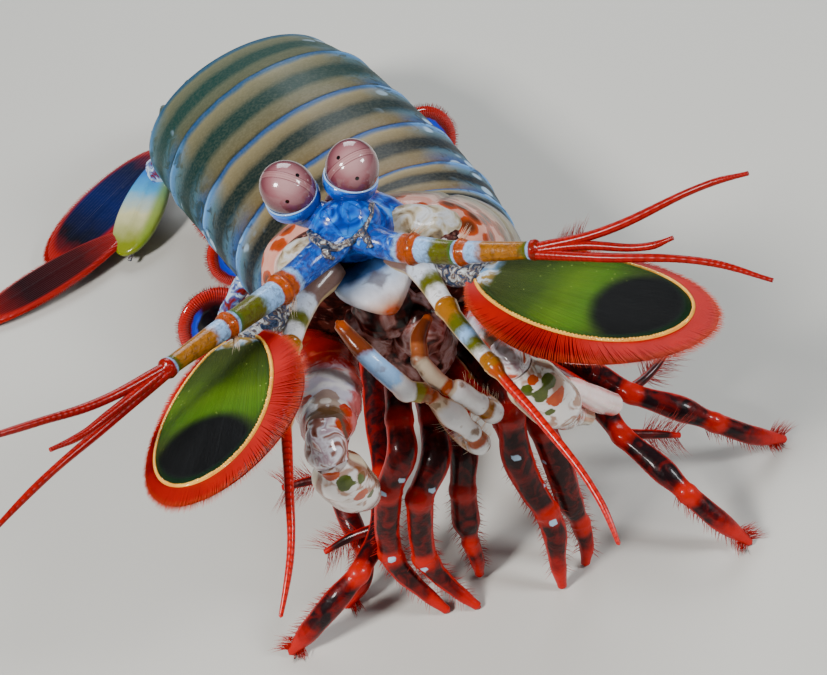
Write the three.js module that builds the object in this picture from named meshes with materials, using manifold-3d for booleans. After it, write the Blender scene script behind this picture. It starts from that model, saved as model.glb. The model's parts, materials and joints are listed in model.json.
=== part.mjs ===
// Peacock mantis shrimp, adult, standing on the sea floor with its fore body raised.
// Units: mm. Axes: X = to the animal's left, Y = towards its tail, Z = up, floor at z = 0.
// Every limb is laid out by its joints, given from the midpoint between the eyes (x, y) and the floor (z).
import * as THREE from "three";
import { mergeVertices } from "three/addons/utils/BufferGeometryUtils.js";
import Module from "manifold-3d";

const wasm = await Module();
wasm.setup();
const { Manifold, Mesh } = wasm;

// driving dimensions
const plateGap = 0.36;          // clearance between neighbouring pieces
const floorZ = 0;               // level of the small flats under the feet
const smoothing = 0.08;         // slivers left by a cut are merged below this size
const corneaRadius = 2.5;       // half width of an eye
const corneaLong = 2.72;        // half height of an eye
const carapaceWall = 1.0;       // thickness of the carapace shell
const bodySides = 18;           // facets round a somite
const limbSides = 6;            // facets round a leg
const feelerSides = 6;          // facets round a feeler
const scaleLength = 21.5;       // antennal scale, without its fringe
const scaleWidth = 9.8;
const scaleThickness = 0.95;
const fringeThickness = 0.55;
const fringeInner = 3.3;        // fringe width on the inner edge
const fringeOuter = 0.8;        // fringe width on the outer edge
const fringeTeeth = 24;         // tufts round the fringe
const paddleThickness = 0.8;
const uropodThickness = 1.0;
const telsonLength = 19;
const telsonWidth = 19;

const vec = (p) => new THREE.Vector3(p[0], p[1], p[2]);
const mix = (a, b, t) => a + (b - a) * t;

function closed(points, triangles) {
  const flat = new Float32Array(points.length * 3);
  points.forEach((p, i) => p.toArray(flat, i * 3));
  const build = (list) => new Manifold(new Mesh({
    numProp: 3,
    vertProperties: flat,
    triVerts: new Uint32Array(list.flat()),
  }));
  const solid = build(triangles);
  if (solid.volume() > 0) return solid;
  return build(triangles.map(([a, b, c]) => [a, c, b]));
}

function fromGeometry(geometry) {
  geometry.deleteAttribute("normal");
  geometry.deleteAttribute("uv");
  const merged = mergeVertices(geometry, 1e-4);
  const position = merged.attributes.position;
  const points = [];
  for (let i = 0; i < position.count; i++) points.push(new THREE.Vector3().fromBufferAttribute(position, i));
  const index = Array.from(merged.index.array);
  const triangles = [];
  for (let i = 0; i < index.length; i += 3) triangles.push([index[i], index[i + 1], index[i + 2]]);
  return closed(points, triangles);
}

// closed skin over rings of equal length, with a fan over each end
function skin(rings) {
  const n = rings[0].length;
  const points = rings.flat();
  const triangles = [];
  for (let r = 0; r + 1 < rings.length; r++) {
    for (let i = 0; i < n; i++) {
      const a = r * n + i;
      const b = r * n + ((i + 1) % n);
      triangles.push([a, b, b + n], [a, b + n, a + n]);
    }
  }
  const last = (rings.length - 1) * n;
  for (const [first, turn] of [[0, true], [last, false]]) {
    const centre = new THREE.Vector3();
    for (let i = 0; i < n; i++) centre.addScaledVector(points[first + i], 1 / n);
    const c = points.push(centre) - 1;
    for (let i = 0; i < n; i++) {
      const a = first + i;
      const b = first + ((i + 1) % n);
      triangles.push(turn ? [c, b, a] : [c, a, b]);
    }
  }
  return closed(points, triangles);
}

// round limb along its joints; each joint is [x, y, z, radius, radius across (optional)]
function limb(joints, { steps = 3, sides = limbSides, up = [0, 0, 1], straight = false } = {}) {
  const nodes = joints.map(vec);
  const curve = new THREE.CatmullRomCurve3(nodes, false, "centripetal");
  const rings = [];
  let across = null;
  const count = (joints.length - 1) * steps;
  for (let s = 0; s <= count; s++) {
    const leg = Math.min(Math.floor(s / steps), joints.length - 2);
    const t = s / steps - leg;
    const here = straight ? nodes[leg].clone().lerp(nodes[leg + 1], t) : curve.getPoint(s / count);
    const ahead = curve.getPoint(Math.min(1, s / count + 0.01));
    const behind = curve.getPoint(Math.max(0, s / count - 0.01));
    const along = ahead.sub(behind).normalize();
    if (!across) across = new THREE.Vector3().crossVectors(along, vec(up)).normalize();
    across.addScaledVector(along, -across.dot(along)).normalize();
    const other = new THREE.Vector3().crossVectors(across, along);
    const ease = t * t * (3 - 2 * t);
    const ra = mix(joints[leg][3], joints[leg + 1][3], ease);
    const rb = mix(joints[leg][4] ?? joints[leg][3], joints[leg + 1][4] ?? joints[leg + 1][3], ease);
    const ring = [];
    for (let i = 0; i < sides; i++) {
      const angle = (2 * Math.PI * i) / sides;
      ring.push(here.clone()
        .addScaledVector(across, rb * Math.cos(angle))
        .addScaledVector(other, ra * Math.sin(angle)));
    }
    rings.push(ring);
  }
  return skin(rings);
}

function ellipsoid(centre, radii, { along = [0, 0, 1], wide = 12, high = 8 } = {}) {
  const geometry = new THREE.SphereGeometry(1, wide, high);
  geometry.rotateX(Math.PI / 2);
  geometry.scale(radii[0], radii[1], radii[2]);
  const turn = new THREE.Quaternion().setFromUnitVectors(new THREE.Vector3(0, 0, 1), vec(along).normalize());
  geometry.applyQuaternion(turn);
  geometry.translate(centre[0], centre[1], centre[2]);
  return fromGeometry(geometry);
}

// thin vane: polar mid surface, the same triangles on both faces and a wall round the rim
function vane({ centre, along, across, outline, rings, count, camber = 0 }) {
  const a = vec(along).normalize();
  const b = vec(across);
  b.addScaledVector(a, -b.dot(a)).normalize();
  const normal = new THREE.Vector3().crossVectors(a, b);
  const base = vec(centre);
  const mid = (ring, i) => {
    const [x, y] = outline(ring, (2 * Math.PI * i) / count, i);
    return base.clone().addScaledVector(a, x).addScaledVector(b, y)
      .addScaledVector(normal, -camber * y * y);
  };
  const points = [];
  const triangles = [];
  const level = (side) => {
    const first = points.length;
    points.push(base.clone().addScaledVector(normal, (side * rings[0]) / 2));
    for (let r = 1; r < rings.length; r++) {
      for (let i = 0; i < count; i++) points.push(mid(r, i).addScaledVector(normal, (side * rings[r]) / 2));
    }
    const at = (r, i) => (r === 0 ? first : first + 1 + (r - 1) * count + (i % count));
    for (let i = 0; i < count; i++) {
      const put = (p, q, s) => triangles.push(side > 0 ? [p, q, s] : [p, s, q]);
      put(at(0, 0), at(1, i), at(1, i + 1));
      for (let r = 1; r + 1 < rings.length; r++) {
        put(at(r, i), at(r + 1, i), at(r + 1, i + 1));
        put(at(r, i), at(r + 1, i + 1), at(r, i + 1));
      }
    }
    return at;
  };
  const top = level(1);
  const under = level(-1);
  const rim = rings.length - 1;
  for (let i = 0; i < count; i++) {
    triangles.push([top(rim, i), under(rim, i), under(rim, i + 1)]);
    triangles.push([top(rim, i), under(rim, i + 1), top(rim, i + 1)]);
  }
  return closed(points, triangles);
}

function egg(length, width, blunt = 0) {
  return (angle) => [
    (length / 2) * Math.cos(angle),
    (width / 2) * Math.sin(angle) * (1 + blunt * Math.cos(angle)),
  ];
}

const fuse = (list) => list.reduce((sum, next) => sum.add(next));

// body stations: chord centre, tailward direction, half width, arch height, belly depth, roll in degrees
const stations = [
  { c: [4.4, 14.5, 24.5], t: [0, 0.66, -0.75], a: 11.9, h: 7.6, b: 4.4, roll: 2 },
  { c: [4.4, 17.3, 21.4], t: [0, 0.72, -0.69], a: 12.8, h: 8.0, b: 4.2, roll: 3 },
  { c: [4.3, 20.4, 18.7], t: [-0.02, 0.8, -0.6], a: 13.6, h: 8.4, b: 4.0, roll: 5 },
  { c: [4.1, 24.0, 16.6], t: [-0.08, 0.9, -0.4], a: 14.4, h: 8.9, b: 3.6, roll: 7 },
  { c: [3.2, 31.5, 15.0], t: [-0.2, 0.96, -0.13], a: 15.0, h: 9.5, b: 3.2, roll: 8 },
  { c: [0.8, 42.0, 14.5], t: [-0.28, 0.96, -0.02], a: 15.2, h: 9.7, b: 3.0, roll: 8 },
  { c: [-2.3, 52.5, 14.4], t: [-0.29, 0.957, -0.03], a: 15.2, h: 9.7, b: 3.0, roll: 8 },
  { c: [-5.6, 63.0, 14.4], t: [-0.28, 0.95, -0.08], a: 15.1, h: 9.7, b: 3.0, roll: 8 },
  { c: [-8.5, 72.4, 13.1], t: [-0.27, 0.93, -0.26], a: 14.3, h: 9.0, b: 2.9, roll: 6 },
  { c: [-10.4, 79.9, 9.8], t: [-0.2, 0.91, -0.36], a: 12.0, h: 6.6, b: 2.6, roll: 3 },
];

function frameOf(station) {
  const t = vec(station.t).normalize();
  const side = new THREE.Vector3(0, 0, 1).cross(t).negate().normalize();
  const left = side.clone().applyAxisAngle(t, (-(station.roll ?? 0) * Math.PI) / 180);
  const up = new THREE.Vector3().crossVectors(left, t).normalize();
  return { t, left, up };
}

function between(s, u) {
  const blend = (key) => (Array.isArray(s[0][key])
    ? s[0][key].map((value, i) => mix(value, s[1][key][i], u))
    : mix(s[0][key], s[1][key], u));
  return { c: blend("c"), t: blend("t"), a: blend("a"), h: blend("h"), b: blend("b"), roll: blend("roll") };
}

// closed outline of a somite: arched back, small side lobes and a shallow belly
function somiteRing(station, swell = 0, lobe = 1.5, sides = bodySides) {
  const { left, up } = frameOf(station);
  const centre = vec(station.c);
  const ring = [];
  const put = (x, y) => ring.push(centre.clone().addScaledVector(left, x).addScaledVector(up, y));
  const back = sides - 8;
  for (let i = 0; i <= back; i++) {
    const angle = (Math.PI * i) / back;
    const lift = Math.pow(Math.sin(angle), 0.86);
    put((station.a + swell) * Math.cos(angle), (station.h + swell) * lift);
  }
  put(-station.a + 0.35, -lobe * 1.15);
  put(-station.a + 2.2, -lobe);
  put(-station.a * 0.7, -station.b * 0.62);
  put(-station.a * 0.3, -station.b);
  put(station.a * 0.3, -station.b);
  put(station.a * 0.7, -station.b * 0.62);
  put(station.a - 2.2, -lobe);
  put(station.a - 0.35, -lobe * 1.15);
  return ring;
}

function somite(index, lobe) {
  const pair = [stations[index], stations[index + 1]];
  const length = vec(pair[0].c).distanceTo(vec(pair[1].c));
  const rim = plateGap / 2 / length;
  const marks = [[rim, -0.15], [0.22, 0.22], [0.6, 0.3], [1 - rim, 0.12]];
  return skin(marks.map(([u, swell]) => somiteRing(between(pair, u), swell, lobe)));
}

// carapace stations, from its front edge to the hind edge
const carapaceStations = [
  { c: [2.4, -0.1, 40.3], t: [0.05, 0.62, -0.78], a: 9.4, h: 4.6, b: 1, roll: -7 },
  { c: [2.6, 1.4, 38.3], t: [0.05, 0.62, -0.78], a: 11.1, h: 6.1, b: 1, roll: -7 },
  { c: [3.2, 5.0, 33.8], t: [0.04, 0.63, -0.77], a: 12.5, h: 7.8, b: 1, roll: -5 },
  { c: [3.9, 9.5, 28.4], t: [0.02, 0.65, -0.76], a: 13.3, h: 9.2, b: 1, roll: -2 },
  { c: [4.4, 14.1, 23.5], t: [0, 0.68, -0.73], a: 13.5, h: 9.7, b: 1, roll: 2 },
];

// open shell: outer arch and inner arch joined by a rim
function shell(list, wall, arcs = 16) {
  const points = [];
  const triangles = [];
  for (const station of list) {
    const { left, up } = frameOf(station);
    for (const inset of [0, wall]) {
      for (let i = 0; i <= arcs; i++) {
        const angle = -0.12 + ((Math.PI + 0.24) * i) / arcs;
        const lift = Math.sign(Math.sin(angle)) * Math.pow(Math.abs(Math.sin(angle)), 0.86);
        points.push(vec(station.c)
          .addScaledVector(left, (station.a - inset) * Math.cos(angle))
          .addScaledVector(up, (station.h - inset) * lift));
      }
    }
  }
  const row = arcs + 1;
  const at = (s, layer, i) => s * 2 * row + layer * row + i;
  const quad = (p, q, r, s) => triangles.push([p, q, r], [p, r, s]);
  for (let s = 0; s + 1 < list.length; s++) {
    for (let i = 0; i < arcs; i++) {
      quad(at(s, 0, i), at(s + 1, 0, i), at(s + 1, 0, i + 1), at(s, 0, i + 1));
      quad(at(s, 1, i), at(s, 1, i + 1), at(s + 1, 1, i + 1), at(s + 1, 1, i));
    }
    quad(at(s, 0, 0), at(s, 1, 0), at(s + 1, 1, 0), at(s + 1, 0, 0));
    quad(at(s, 0, arcs), at(s + 1, 0, arcs), at(s + 1, 1, arcs), at(s, 1, arcs));
  }
  const end = list.length - 1;
  for (let i = 0; i < arcs; i++) {
    quad(at(0, 0, i), at(0, 0, i + 1), at(0, 1, i + 1), at(0, 1, i));
    quad(at(end, 0, i), at(end, 1, i), at(end, 1, i + 1), at(end, 0, i + 1));
  }
  return closed(points, triangles);
}

const order = [];
const add = (name, colour, solid) => order.push({ name, colour, solid });

const colours = {
  blue: 0x2f6fb5, green: 0x2f7d2b, red: 0xb3201a, maroon: 0x4a1016, pale: 0xd9d2c4,
  olive: 0x8a7a2e, slate: 0x6f7368, eye: 0xb98aa0, orange: 0xd8591f,
};

// head: body of the fore part under the carapace, with the block that carries eyes and antennules
const headStations = carapaceStations.map((s, i) => ({
  ...s,
  a: s.a - carapaceWall - plateGap * 1.9,
  h: s.h - carapaceWall - plateGap * 1.9,
  b: [3.2, 4.6, 6.2, 6.4, 5.2][i],
}));
headStations[4] = { ...headStations[4], c: [4.4, 13.9, 25.0], a: 11.4, h: 7.0, b: 4.6 };
const eyeBlock = [1.0, -1.9, 45.4];
const headBody = skin(headStations.map((s) => somiteRing(s, 0, 0.8, 14)));
const headBlock = fuse([
  ellipsoid(eyeBlock, [3.6, 2.5, 3.0], { along: [0.1, -0.35, 1], wide: 12, high: 6 }),
  limb([[2.2, 2.0, 41.0, 4.2, 5.4], [1.2, -1.2, 44.2, 3.0, 4.2], [0.9, -2.8, 45.6, 2.0, 3.0]], { sides: 10 }),
]);

const rostral = limb(
  [[2.4, 5.0, 41.6, 0.5, 3.4], [1.8, 2.9, 44.8, 0.5, 2.8], [1.3, 1.0, 47.6, 0.45, 1.0]],
  { sides: 8, up: [0, 0.8, 0.6], steps: 2 },
);
add("carapace", colours.slate, fuse([shell(carapaceStations, carapaceWall), rostral]));
add("head", colours.blue, fuse([headBody, headBlock]));
["thorax_somite_6", "thorax_somite_7", "thorax_somite_8"].forEach((name, i) => {
  add(name, colours.slate, somite(i, 0.9));
});
for (let i = 0; i < 6; i++) add("abdomen_somite_" + (i + 1), colours.slate, somite(i + 3, i === 5 ? 1.0 : 1.7));

// eyes: cornea, then the cup and stalk below it
const eyes = [
  { side: "right", centre: [-3.1, 0.0, 50.0], foot: [-0.3, -1.7, 46.6] },
  { side: "left", centre: [3.1, 0.1, 50.0], foot: [2.2, -1.6, 46.6] },
];
for (const eye of eyes) {
  const axis = vec(eye.centre).sub(vec(eye.foot)).normalize();
  const along = axis.toArray();
  add("cornea_" + eye.side, colours.eye,
    ellipsoid(eye.centre, [corneaRadius, corneaRadius, corneaLong], { along, wide: 16, high: 10 }));
  const up = (reach) => vec(eye.centre).addScaledVector(axis, reach).toArray();
  add("eyestalk_" + eye.side, colours.blue, limb([
    [...eye.foot, 1.3],
    [...up(-3.6), 1.7],
    [...up(-2.6), 2.4],
    [...up(-1.6), corneaRadius + 0.3],
    [...up(-0.5), corneaRadius + 0.42],
  ], { steps: 1, sides: 14, straight: true }));
}

// telson: broad plate with a keel and marginal teeth, sloping down to the floor
const telsonBase = [-10.6, 80.4, 7.8];
const telsonTip = [-13.4, 98.6, 1.35];
const telsonAlong = vec(telsonTip).sub(vec(telsonBase));
const telsonAcross = [0.95, 0.27, 0.03];
const telsonMiddle = vec(telsonBase).addScaledVector(telsonAlong, 0.5).toArray();
const telsonPlate = vane({
  centre: telsonMiddle,
  along: telsonAlong.toArray(),
  across: telsonAcross,
  rings: [3.2, 2.6, 1.0],
  count: 30,
  camber: 0.02,
  outline: (ring, angle, i) => {
    const c = Math.cos(angle);
    const s = Math.sin(angle);
    const square = Math.pow(Math.pow(Math.abs(c), 3.2) + Math.pow(Math.abs(s), 3.2), -1 / 3.2);
    const tooth = c > -0.35 && i % 3 === 0 ? 1.0 : c > -0.35 ? 0.93 : 0.97;
    const reach = ring === 1 ? 0.62 : tooth;
    const narrow = c > 0 ? 1 - 0.22 * c * square : 1 + 0.05 * c;
    return [(telsonLength / 2) * c * square * reach, (telsonWidth / 2) * s * square * reach * narrow];
  },
});
const keel = limb([
  [...vec(telsonBase).addScaledVector(telsonAlong, 0.06).add(vec([0, 0, 1.2])).toArray(), 1.1],
  [...vec(telsonBase).addScaledVector(telsonAlong, 0.5).add(vec([0, 0, 1.3])).toArray(), 0.9],
  [...vec(telsonBase).addScaledVector(telsonAlong, 0.88).add(vec([0, 0, 0.5])).toArray(), 0.5],
], { sides: 6, steps: 2 });
add("telson", colours.green, fuse([telsonPlate, keel]));

function blade(from, to, width, across, { thickness = uropodThickness, fringe = 0, count = 18, blunt = 0.12 } = {}) {
  const a = vec(from);
  const b = vec(to);
  const length = a.distanceTo(b);
  const shape = egg(length, width, blunt);
  return vane({
    centre: a.clone().lerp(b, 0.5).toArray(),
    along: b.clone().sub(a).toArray(),
    across,
    rings: [thickness, thickness * 0.9, fringe ? 0.55 : thickness * 0.55],
    count,
    outline: (ring, angle, i) => {
      const [x, y] = shape(angle);
      if (ring === 1) return [x * 0.78, y * 0.78];
      const reach = fringe * (0.35 + 0.65 * Math.max(0, Math.cos(angle / 2) ** 2)) * (i % 2 ? 0.72 : 1);
      const size = Math.hypot(x, y);
      return [x * (1 + reach / size), y * (1 + reach / size)];
    },
  });
}

// uropods: near one swung out to the side, far one trailing
const uropods = {
  right: {
    root: [[-15.5, 75.2, 8.6, 2.6], [-20.5, 75.5, 7.8, 2.4], [-23.5, 77.0, 6.2, 2.0]],
    exopod: [[-22.3, 79.3, 6.4], [-30.6, 66.4, 1.7], 7.2, [1, 0.55, 0.35]],
    tip: [[-29.4, 70.2, 2.6], [-51.5, 62.6, 0.85], 6.6, [0.3, 1, 0.1]],
    endopod: [[-22.4, 83.0, 5.6], [-40.6, 70.0, 1.6], 9.0, [0.6, 1, 0.25]],
    spine: [[-23.4, 76.2, 5.0, 1.0], [-28.0, 70.0, 2.6, 0.8], [-29.9, 65.6, 1.3, 0.3]],
  },
  left: {
    root: [[-4.4, 78.5, 8.4, 2.4], [-0.6, 80.0, 7.4, 2.3], [1.4, 81.6, 5.8, 2.0]],
    exopod: [[0.6, 79.8, 6.4], [4.4, 89.6, 2.4], 6.4, [1, -0.4, 0]],
    tip: [[3.0, 86.8, 3.4], [5.0, 100.0, 0.85], 6.0, [1, -0.2, 0]],
    endopod: [[-0.4, 80.8, 5.0], [-1.8, 96.4, 1.3], 6.0, [1, 0, 0]],
    spine: [[2.4, 81.4, 5.0, 1.0], [5.8, 86.8, 2.9, 0.7], [7.2, 90.6, 1.2, 0.3]],
  },
};
for (const [side, u] of Object.entries(uropods)) {
  add("uropod_" + side, colours.red, fuse([
    limb(u.root, { sides: 8, steps: 2 }),
    blade(...u.exopod, { thickness: 1.5, count: 14 }),
    blade(...u.tip, { fringe: 1.3 }),
    blade(...u.endopod, { fringe: 1.3 }),
    limb(u.spine, { sides: 6, steps: 2 }),
  ]));
}

// labrum and mouth parts
add("labrum", colours.pale, vane({
  centre: [2.3, -4.6, 39.6],
  along: [0.2, -1.0, -0.55],
  across: [1, 0.2, 0],
  rings: [2.0, 1.8, 1.0],
  count: 12,
  outline: (ring, angle) => {
    const [x, y] = egg(6.4, 7.2, -0.55)(angle);
    return ring === 1 ? [x * 0.6, y * 0.6] : [x, y];
  },
}));
add("mouthparts", colours.maroon, fuse([
  ellipsoid([2.2, -2.4, 35.2], [3.3, 3.0, 3.2], { wide: 8, high: 5 }),
  ellipsoid([5.0, -3.2, 32.4], [2.8, 2.6, 3.6], { along: [0.3, 0, 1], wide: 8, high: 5 }),
  ellipsoid([3.6, -0.6, 28.2], [4.6, 4.4, 4.2], { wide: 8, high: 5 }),
  ellipsoid([0.2, -1.6, 31.4], [2.2, 2.4, 4.2], { along: [-0.2, 0, 1], wide: 8, high: 5 }),
]));

// antennules: three stout joints and three flagella each
const antennules = {
  right: {
    peduncle: [[0.2, -2.9, 45.0, 1.7], [-4.6, -6.8, 45.2, 1.35], [-6.3, -8.6, 45.6, 1.55], [-6.9, -9.2, 45.8, 1.2],
      [-10.6, -13.3, 47.3, 1.1], [-11.2, -13.9, 47.6, 1.3], [-11.8, -14.5, 47.8, 1.0], [-16.0, -18.5, 49.0, 0.8],
      [-16.7, -19.2, 49.2, 0.95]],
    flagella: [
      [[-16.7, -19.1, 49.3, 0.5], [-22.3, -22.8, 50.8, 0.42], [-27.0, -25.9, 53.2, 0.34], [-33.0, -29.6, 56.2, 0.2]],
      [[-16.9, -19.3, 49.2, 0.5], [-21.7, -23.5, 49.9, 0.4], [-24.2, -25.7, 50.4, 0.33], [-26.5, -27.5, 51.4, 0.2]],
      [[-16.8, -19.5, 49.0, 0.5], [-22.0, -23.2, 48.8, 0.42], [-28.0, -28.0, 49.0, 0.34], [-33.6, -32.4, 48.3, 0.2]],
    ],
  },
  left: {
    peduncle: [[1.6, -2.9, 45.0, 1.7], [4.6, -5.8, 44.4, 1.35], [6.3, -7.2, 44.5, 1.55], [6.9, -7.7, 44.6, 1.2],
      [9.7, -10.1, 45.0, 1.1], [10.3, -10.6, 45.2, 1.3], [11.0, -11.2, 45.4, 1.0], [15.5, -14.4, 46.3, 0.8],
      [16.3, -15.0, 46.5, 0.95]],
    flagella: [
      [[16.2, -14.9, 46.6, 0.5], [21.8, -17.2, 48.0, 0.42], [31.4, -19.6, 51.5, 0.3], [34.2, -21.2, 52.6, 0.2]],
      [[16.5, -15.2, 46.5, 0.5], [19.9, -17.0, 47.1, 0.42], [25.3, -20.3, 47.5, 0.34], [27.2, -21.0, 48.2, 0.2]],
      [[16.3, -15.4, 46.3, 0.5], [20.6, -18.4, 46.6, 0.42], [29.3, -23.5, 46.6, 0.32], [33.6, -26.9, 45.6, 0.2]],
    ],
  },
};
for (const [side, a] of Object.entries(antennules)) {
  add("antennule_" + side, colours.orange, limb(a.peduncle, { steps: 1, sides: 8, straight: true }));
  add("antennule_flagella_" + side, colours.red,
    fuse(a.flagella.map((f) => limb(f, { steps: 3, sides: feelerSides }))));
}

// antennae: jointed peduncle and one flagellum
const antennae = {
  right: [[-1.6, -2.6, 41.6, 1.7], [-4.6, -6.0, 41.5, 1.25], [-6.6, -10.6, 41.4, 0.95], [-6.9, -11.4, 41.4, 1.15],
    [-7.2, -12.6, 41.3, 0.9], [-8.1, -18.2, 41.0, 0.72], [-8.6, -19.6, 40.9, 0.85], [-8.9, -21.2, 40.5, 0.5],
    [-9.9, -26.4, 38.7, 0.42], [-11.2, -31.2, 36.0, 0.34], [-13.4, -35.0, 33.1, 0.2]],
  left: [[4.8, -2.6, 41.2, 1.7], [6.3, -5.2, 40.9, 1.3], [7.4, -10.2, 40.1, 1.0], [7.6, -11.0, 40.0, 1.15],
    [7.9, -12.4, 39.8, 0.9], [9.5, -17.7, 38.8, 0.75], [9.9, -18.8, 38.6, 0.9], [10.4, -20.2, 38.0, 0.5],
    [12.3, -24.6, 36.1, 0.42], [15.0, -31.9, 32.1, 0.32], [15.4, -35.2, 29.7, 0.2]],
};
for (const [side, joints] of Object.entries(antennae)) {
  add("antenna_" + side, colours.olive, limb(joints, { steps: 1, sides: 8, straight: true }));
}

// antennal scales: oval blade on a short stalk, with a fringe of tufts round all but its root
const scales = {
  right: { root: [-4.6, -4.2, 41.0], base: [-10.8, -10.6, 43.4], tip: [-16.6, -30.0, 46.2], across: [1, -0.1, 0.1], inner: 1 },
  left: { root: [7.4, -3.8, 39.6], base: [11.3, -9.2, 41.6], tip: [26.1, -23.1, 41.5], across: [0.62, 0.76, 0.02], inner: -1 },
};
for (const [side, s] of Object.entries(scales)) {
  const base = vec(s.base);
  const along = vec(s.tip).sub(base).normalize();
  const shape = egg(scaleLength, scaleWidth, 0.1);
  const middle = base.clone().addScaledVector(along, scaleLength / 2).toArray();
  const count = fringeTeeth * 2;
  const plate = vane({
    centre: middle,
    along: along.toArray(),
    across: s.across,
    camber: 0.012,
    rings: [scaleThickness, scaleThickness, fringeThickness],
    count,
    outline: (ring, angle, i) => {
      const [x, y] = shape(angle);
      if (ring === 1) return [x * 0.97, y * 0.97];
      const inner = Math.sin(angle) * s.inner;
      const share = inner > 0 ? mix(0.8, 1, inner) : 0.8 * (1 + inner) ** 0.7;
      const wide = mix(fringeOuter, fringeInner, share) * (1 - 0.85 * Math.max(0, -Math.cos(angle)) ** 4);
      const reach = wide * (i % 2 ? 0.8 : 1);
      const size = Math.hypot(x, y);
      return [x * (1 + reach / size), y * (1 + reach / size)];
    },
  });
  const stalk = limb([
    [...s.root, 1.5],
    [...base.clone().lerp(vec(s.root), 0.45).toArray(), 1.6, 1.9],
    [...base.clone().addScaledVector(along, 0.8).toArray(), 1.0, 2.0],
  ], { steps: 2, sides: 8 });
  add("antennal_scale_" + side, colours.green, fuse([plate, stalk]));
}

// raptorial claws: folded, thick merus above, bulbous wrist end of the propodus below
const claws = {
  right: {
    merus: [[-2.8, 5.2, 27.6, 2.0, 1.8], [-5.7, 3.0, 29.0, 2.6, 2.2], [-5.3, -4.0, 30.8, 3.4, 2.8],
      [-5.5, -10.5, 32.9, 3.3, 2.8], [-5.8, -15.4, 34.6, 2.6, 2.4], [-5.9, -17.0, 35.2, 2.0, 2.0]],
    carpus: [[-6.1, -16.4, 35.4, 1.6, 1.6], [-6.4, -18.6, 34.6, 2.0, 2.2], [-6.3, -19.4, 33.4, 1.6, 1.9]],
    propodus: [[-6.3, -19.3, 33.8, 1.6, 1.7], [-6.1, -18.9, 31.4, 2.6, 2.3], [-5.5, -17.3, 27.6, 2.5, 2.1],
      [-5.0, -15.2, 24.4, 1.7, 1.5], [-4.7, -12.4, 21.6, 1.2, 1.1], [-4.5, -10.9, 20.0, 0.9, 0.9]],
    dactyl: [[-7.4, -16.4, 29.4, 0.6], [-7.2, -14.2, 26.0, 0.9], [-6.8, -11.4, 22.6, 1.3], [-6.6, -9.9, 21.0, 1.1]],
  },
  left: {
    merus: [[8.2, 6.0, 25.8, 2.0, 1.8], [11.4, 4.0, 27.4, 2.6, 2.2], [11.7, -2.4, 30.0, 3.3, 2.8],
      [11.7, -8.4, 33.0, 3.2, 2.8], [11.8, -12.2, 34.8, 2.5, 2.4], [11.8, -13.2, 35.3, 2.0, 2.0]],
    carpus: [[11.8, -12.8, 35.2, 1.6, 1.6], [12.0, -14.4, 34.6, 2.0, 2.2], [12.4, -15.1, 33.6, 1.6, 1.9]],
    propodus: [[12.2, -15.1, 34.2, 1.6, 1.7], [13.2, -15.3, 31.8, 2.6, 2.3], [14.6, -15.1, 28.6, 2.6, 2.3],
      [15.4, -13.6, 25.6, 1.7, 1.6], [16.6, -10.0, 21.6, 1.2, 1.2], [18.2, -7.2, 18.0, 0.9, 0.9]],
    dactyl: [[16.2, -13.4, 29.0, 0.7], [17.4, -11.4, 25.8, 1.1], [19.4, -8.6, 21.2, 1.3], [21.0, -6.4, 17.9, 1.2]],
  },
};
for (const [side, c] of Object.entries(claws)) {
  for (const piece of ["merus", "carpus", "propodus", "dactyl"]) {
    add("raptorial_" + piece + "_" + side, piece === "merus" ? colours.red : colours.pale,
      limb(c[piece], { steps: 2, sides: 10, up: [1, 0, 0] }));
  }
}

// first maxillipeds: slender jointed limbs held up in front of the mouth
const maxilliped1 = {
  right: [[4.0, 0.4, 23.6, 1.3], [5.4, -7.6, 22.6, 1.2], [7.0, -12.2, 23.6, 1.15], [6.6, -12.7, 25.8, 1.0],
    [5.3, -12.7, 28.7, 1.3, 1.1], [3.9, -12.5, 31.4, 0.8], [3.2, -12.5, 32.2, 1.0], [1.9, -12.7, 33.2, 1.1, 1.0],
    [-0.4, -11.6, 37.2, 0.95], [-2.2, -8.6, 39.7, 0.6]],
  left: [[6.4, 0.6, 23.4, 1.3], [8.6, -6.6, 23.4, 1.2], [9.0, -10.6, 25.6, 1.15], [8.0, -11.2, 27.6, 1.1],
    [6.4, -11.6, 30.4, 1.1], [5.6, -11.6, 31.2, 0.85], [4.6, -10.9, 32.4, 0.9], [3.9, -9.7, 33.7, 0.9],
    [4.4, -7.9, 34.8, 0.8], [5.8, -5.9, 35.2, 0.5]],
};
for (const [side, joints] of Object.entries(maxilliped1)) {
  add("maxilliped_1_" + side, colours.pale, limb(joints, { steps: 1, sides: 8 }));
}

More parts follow.
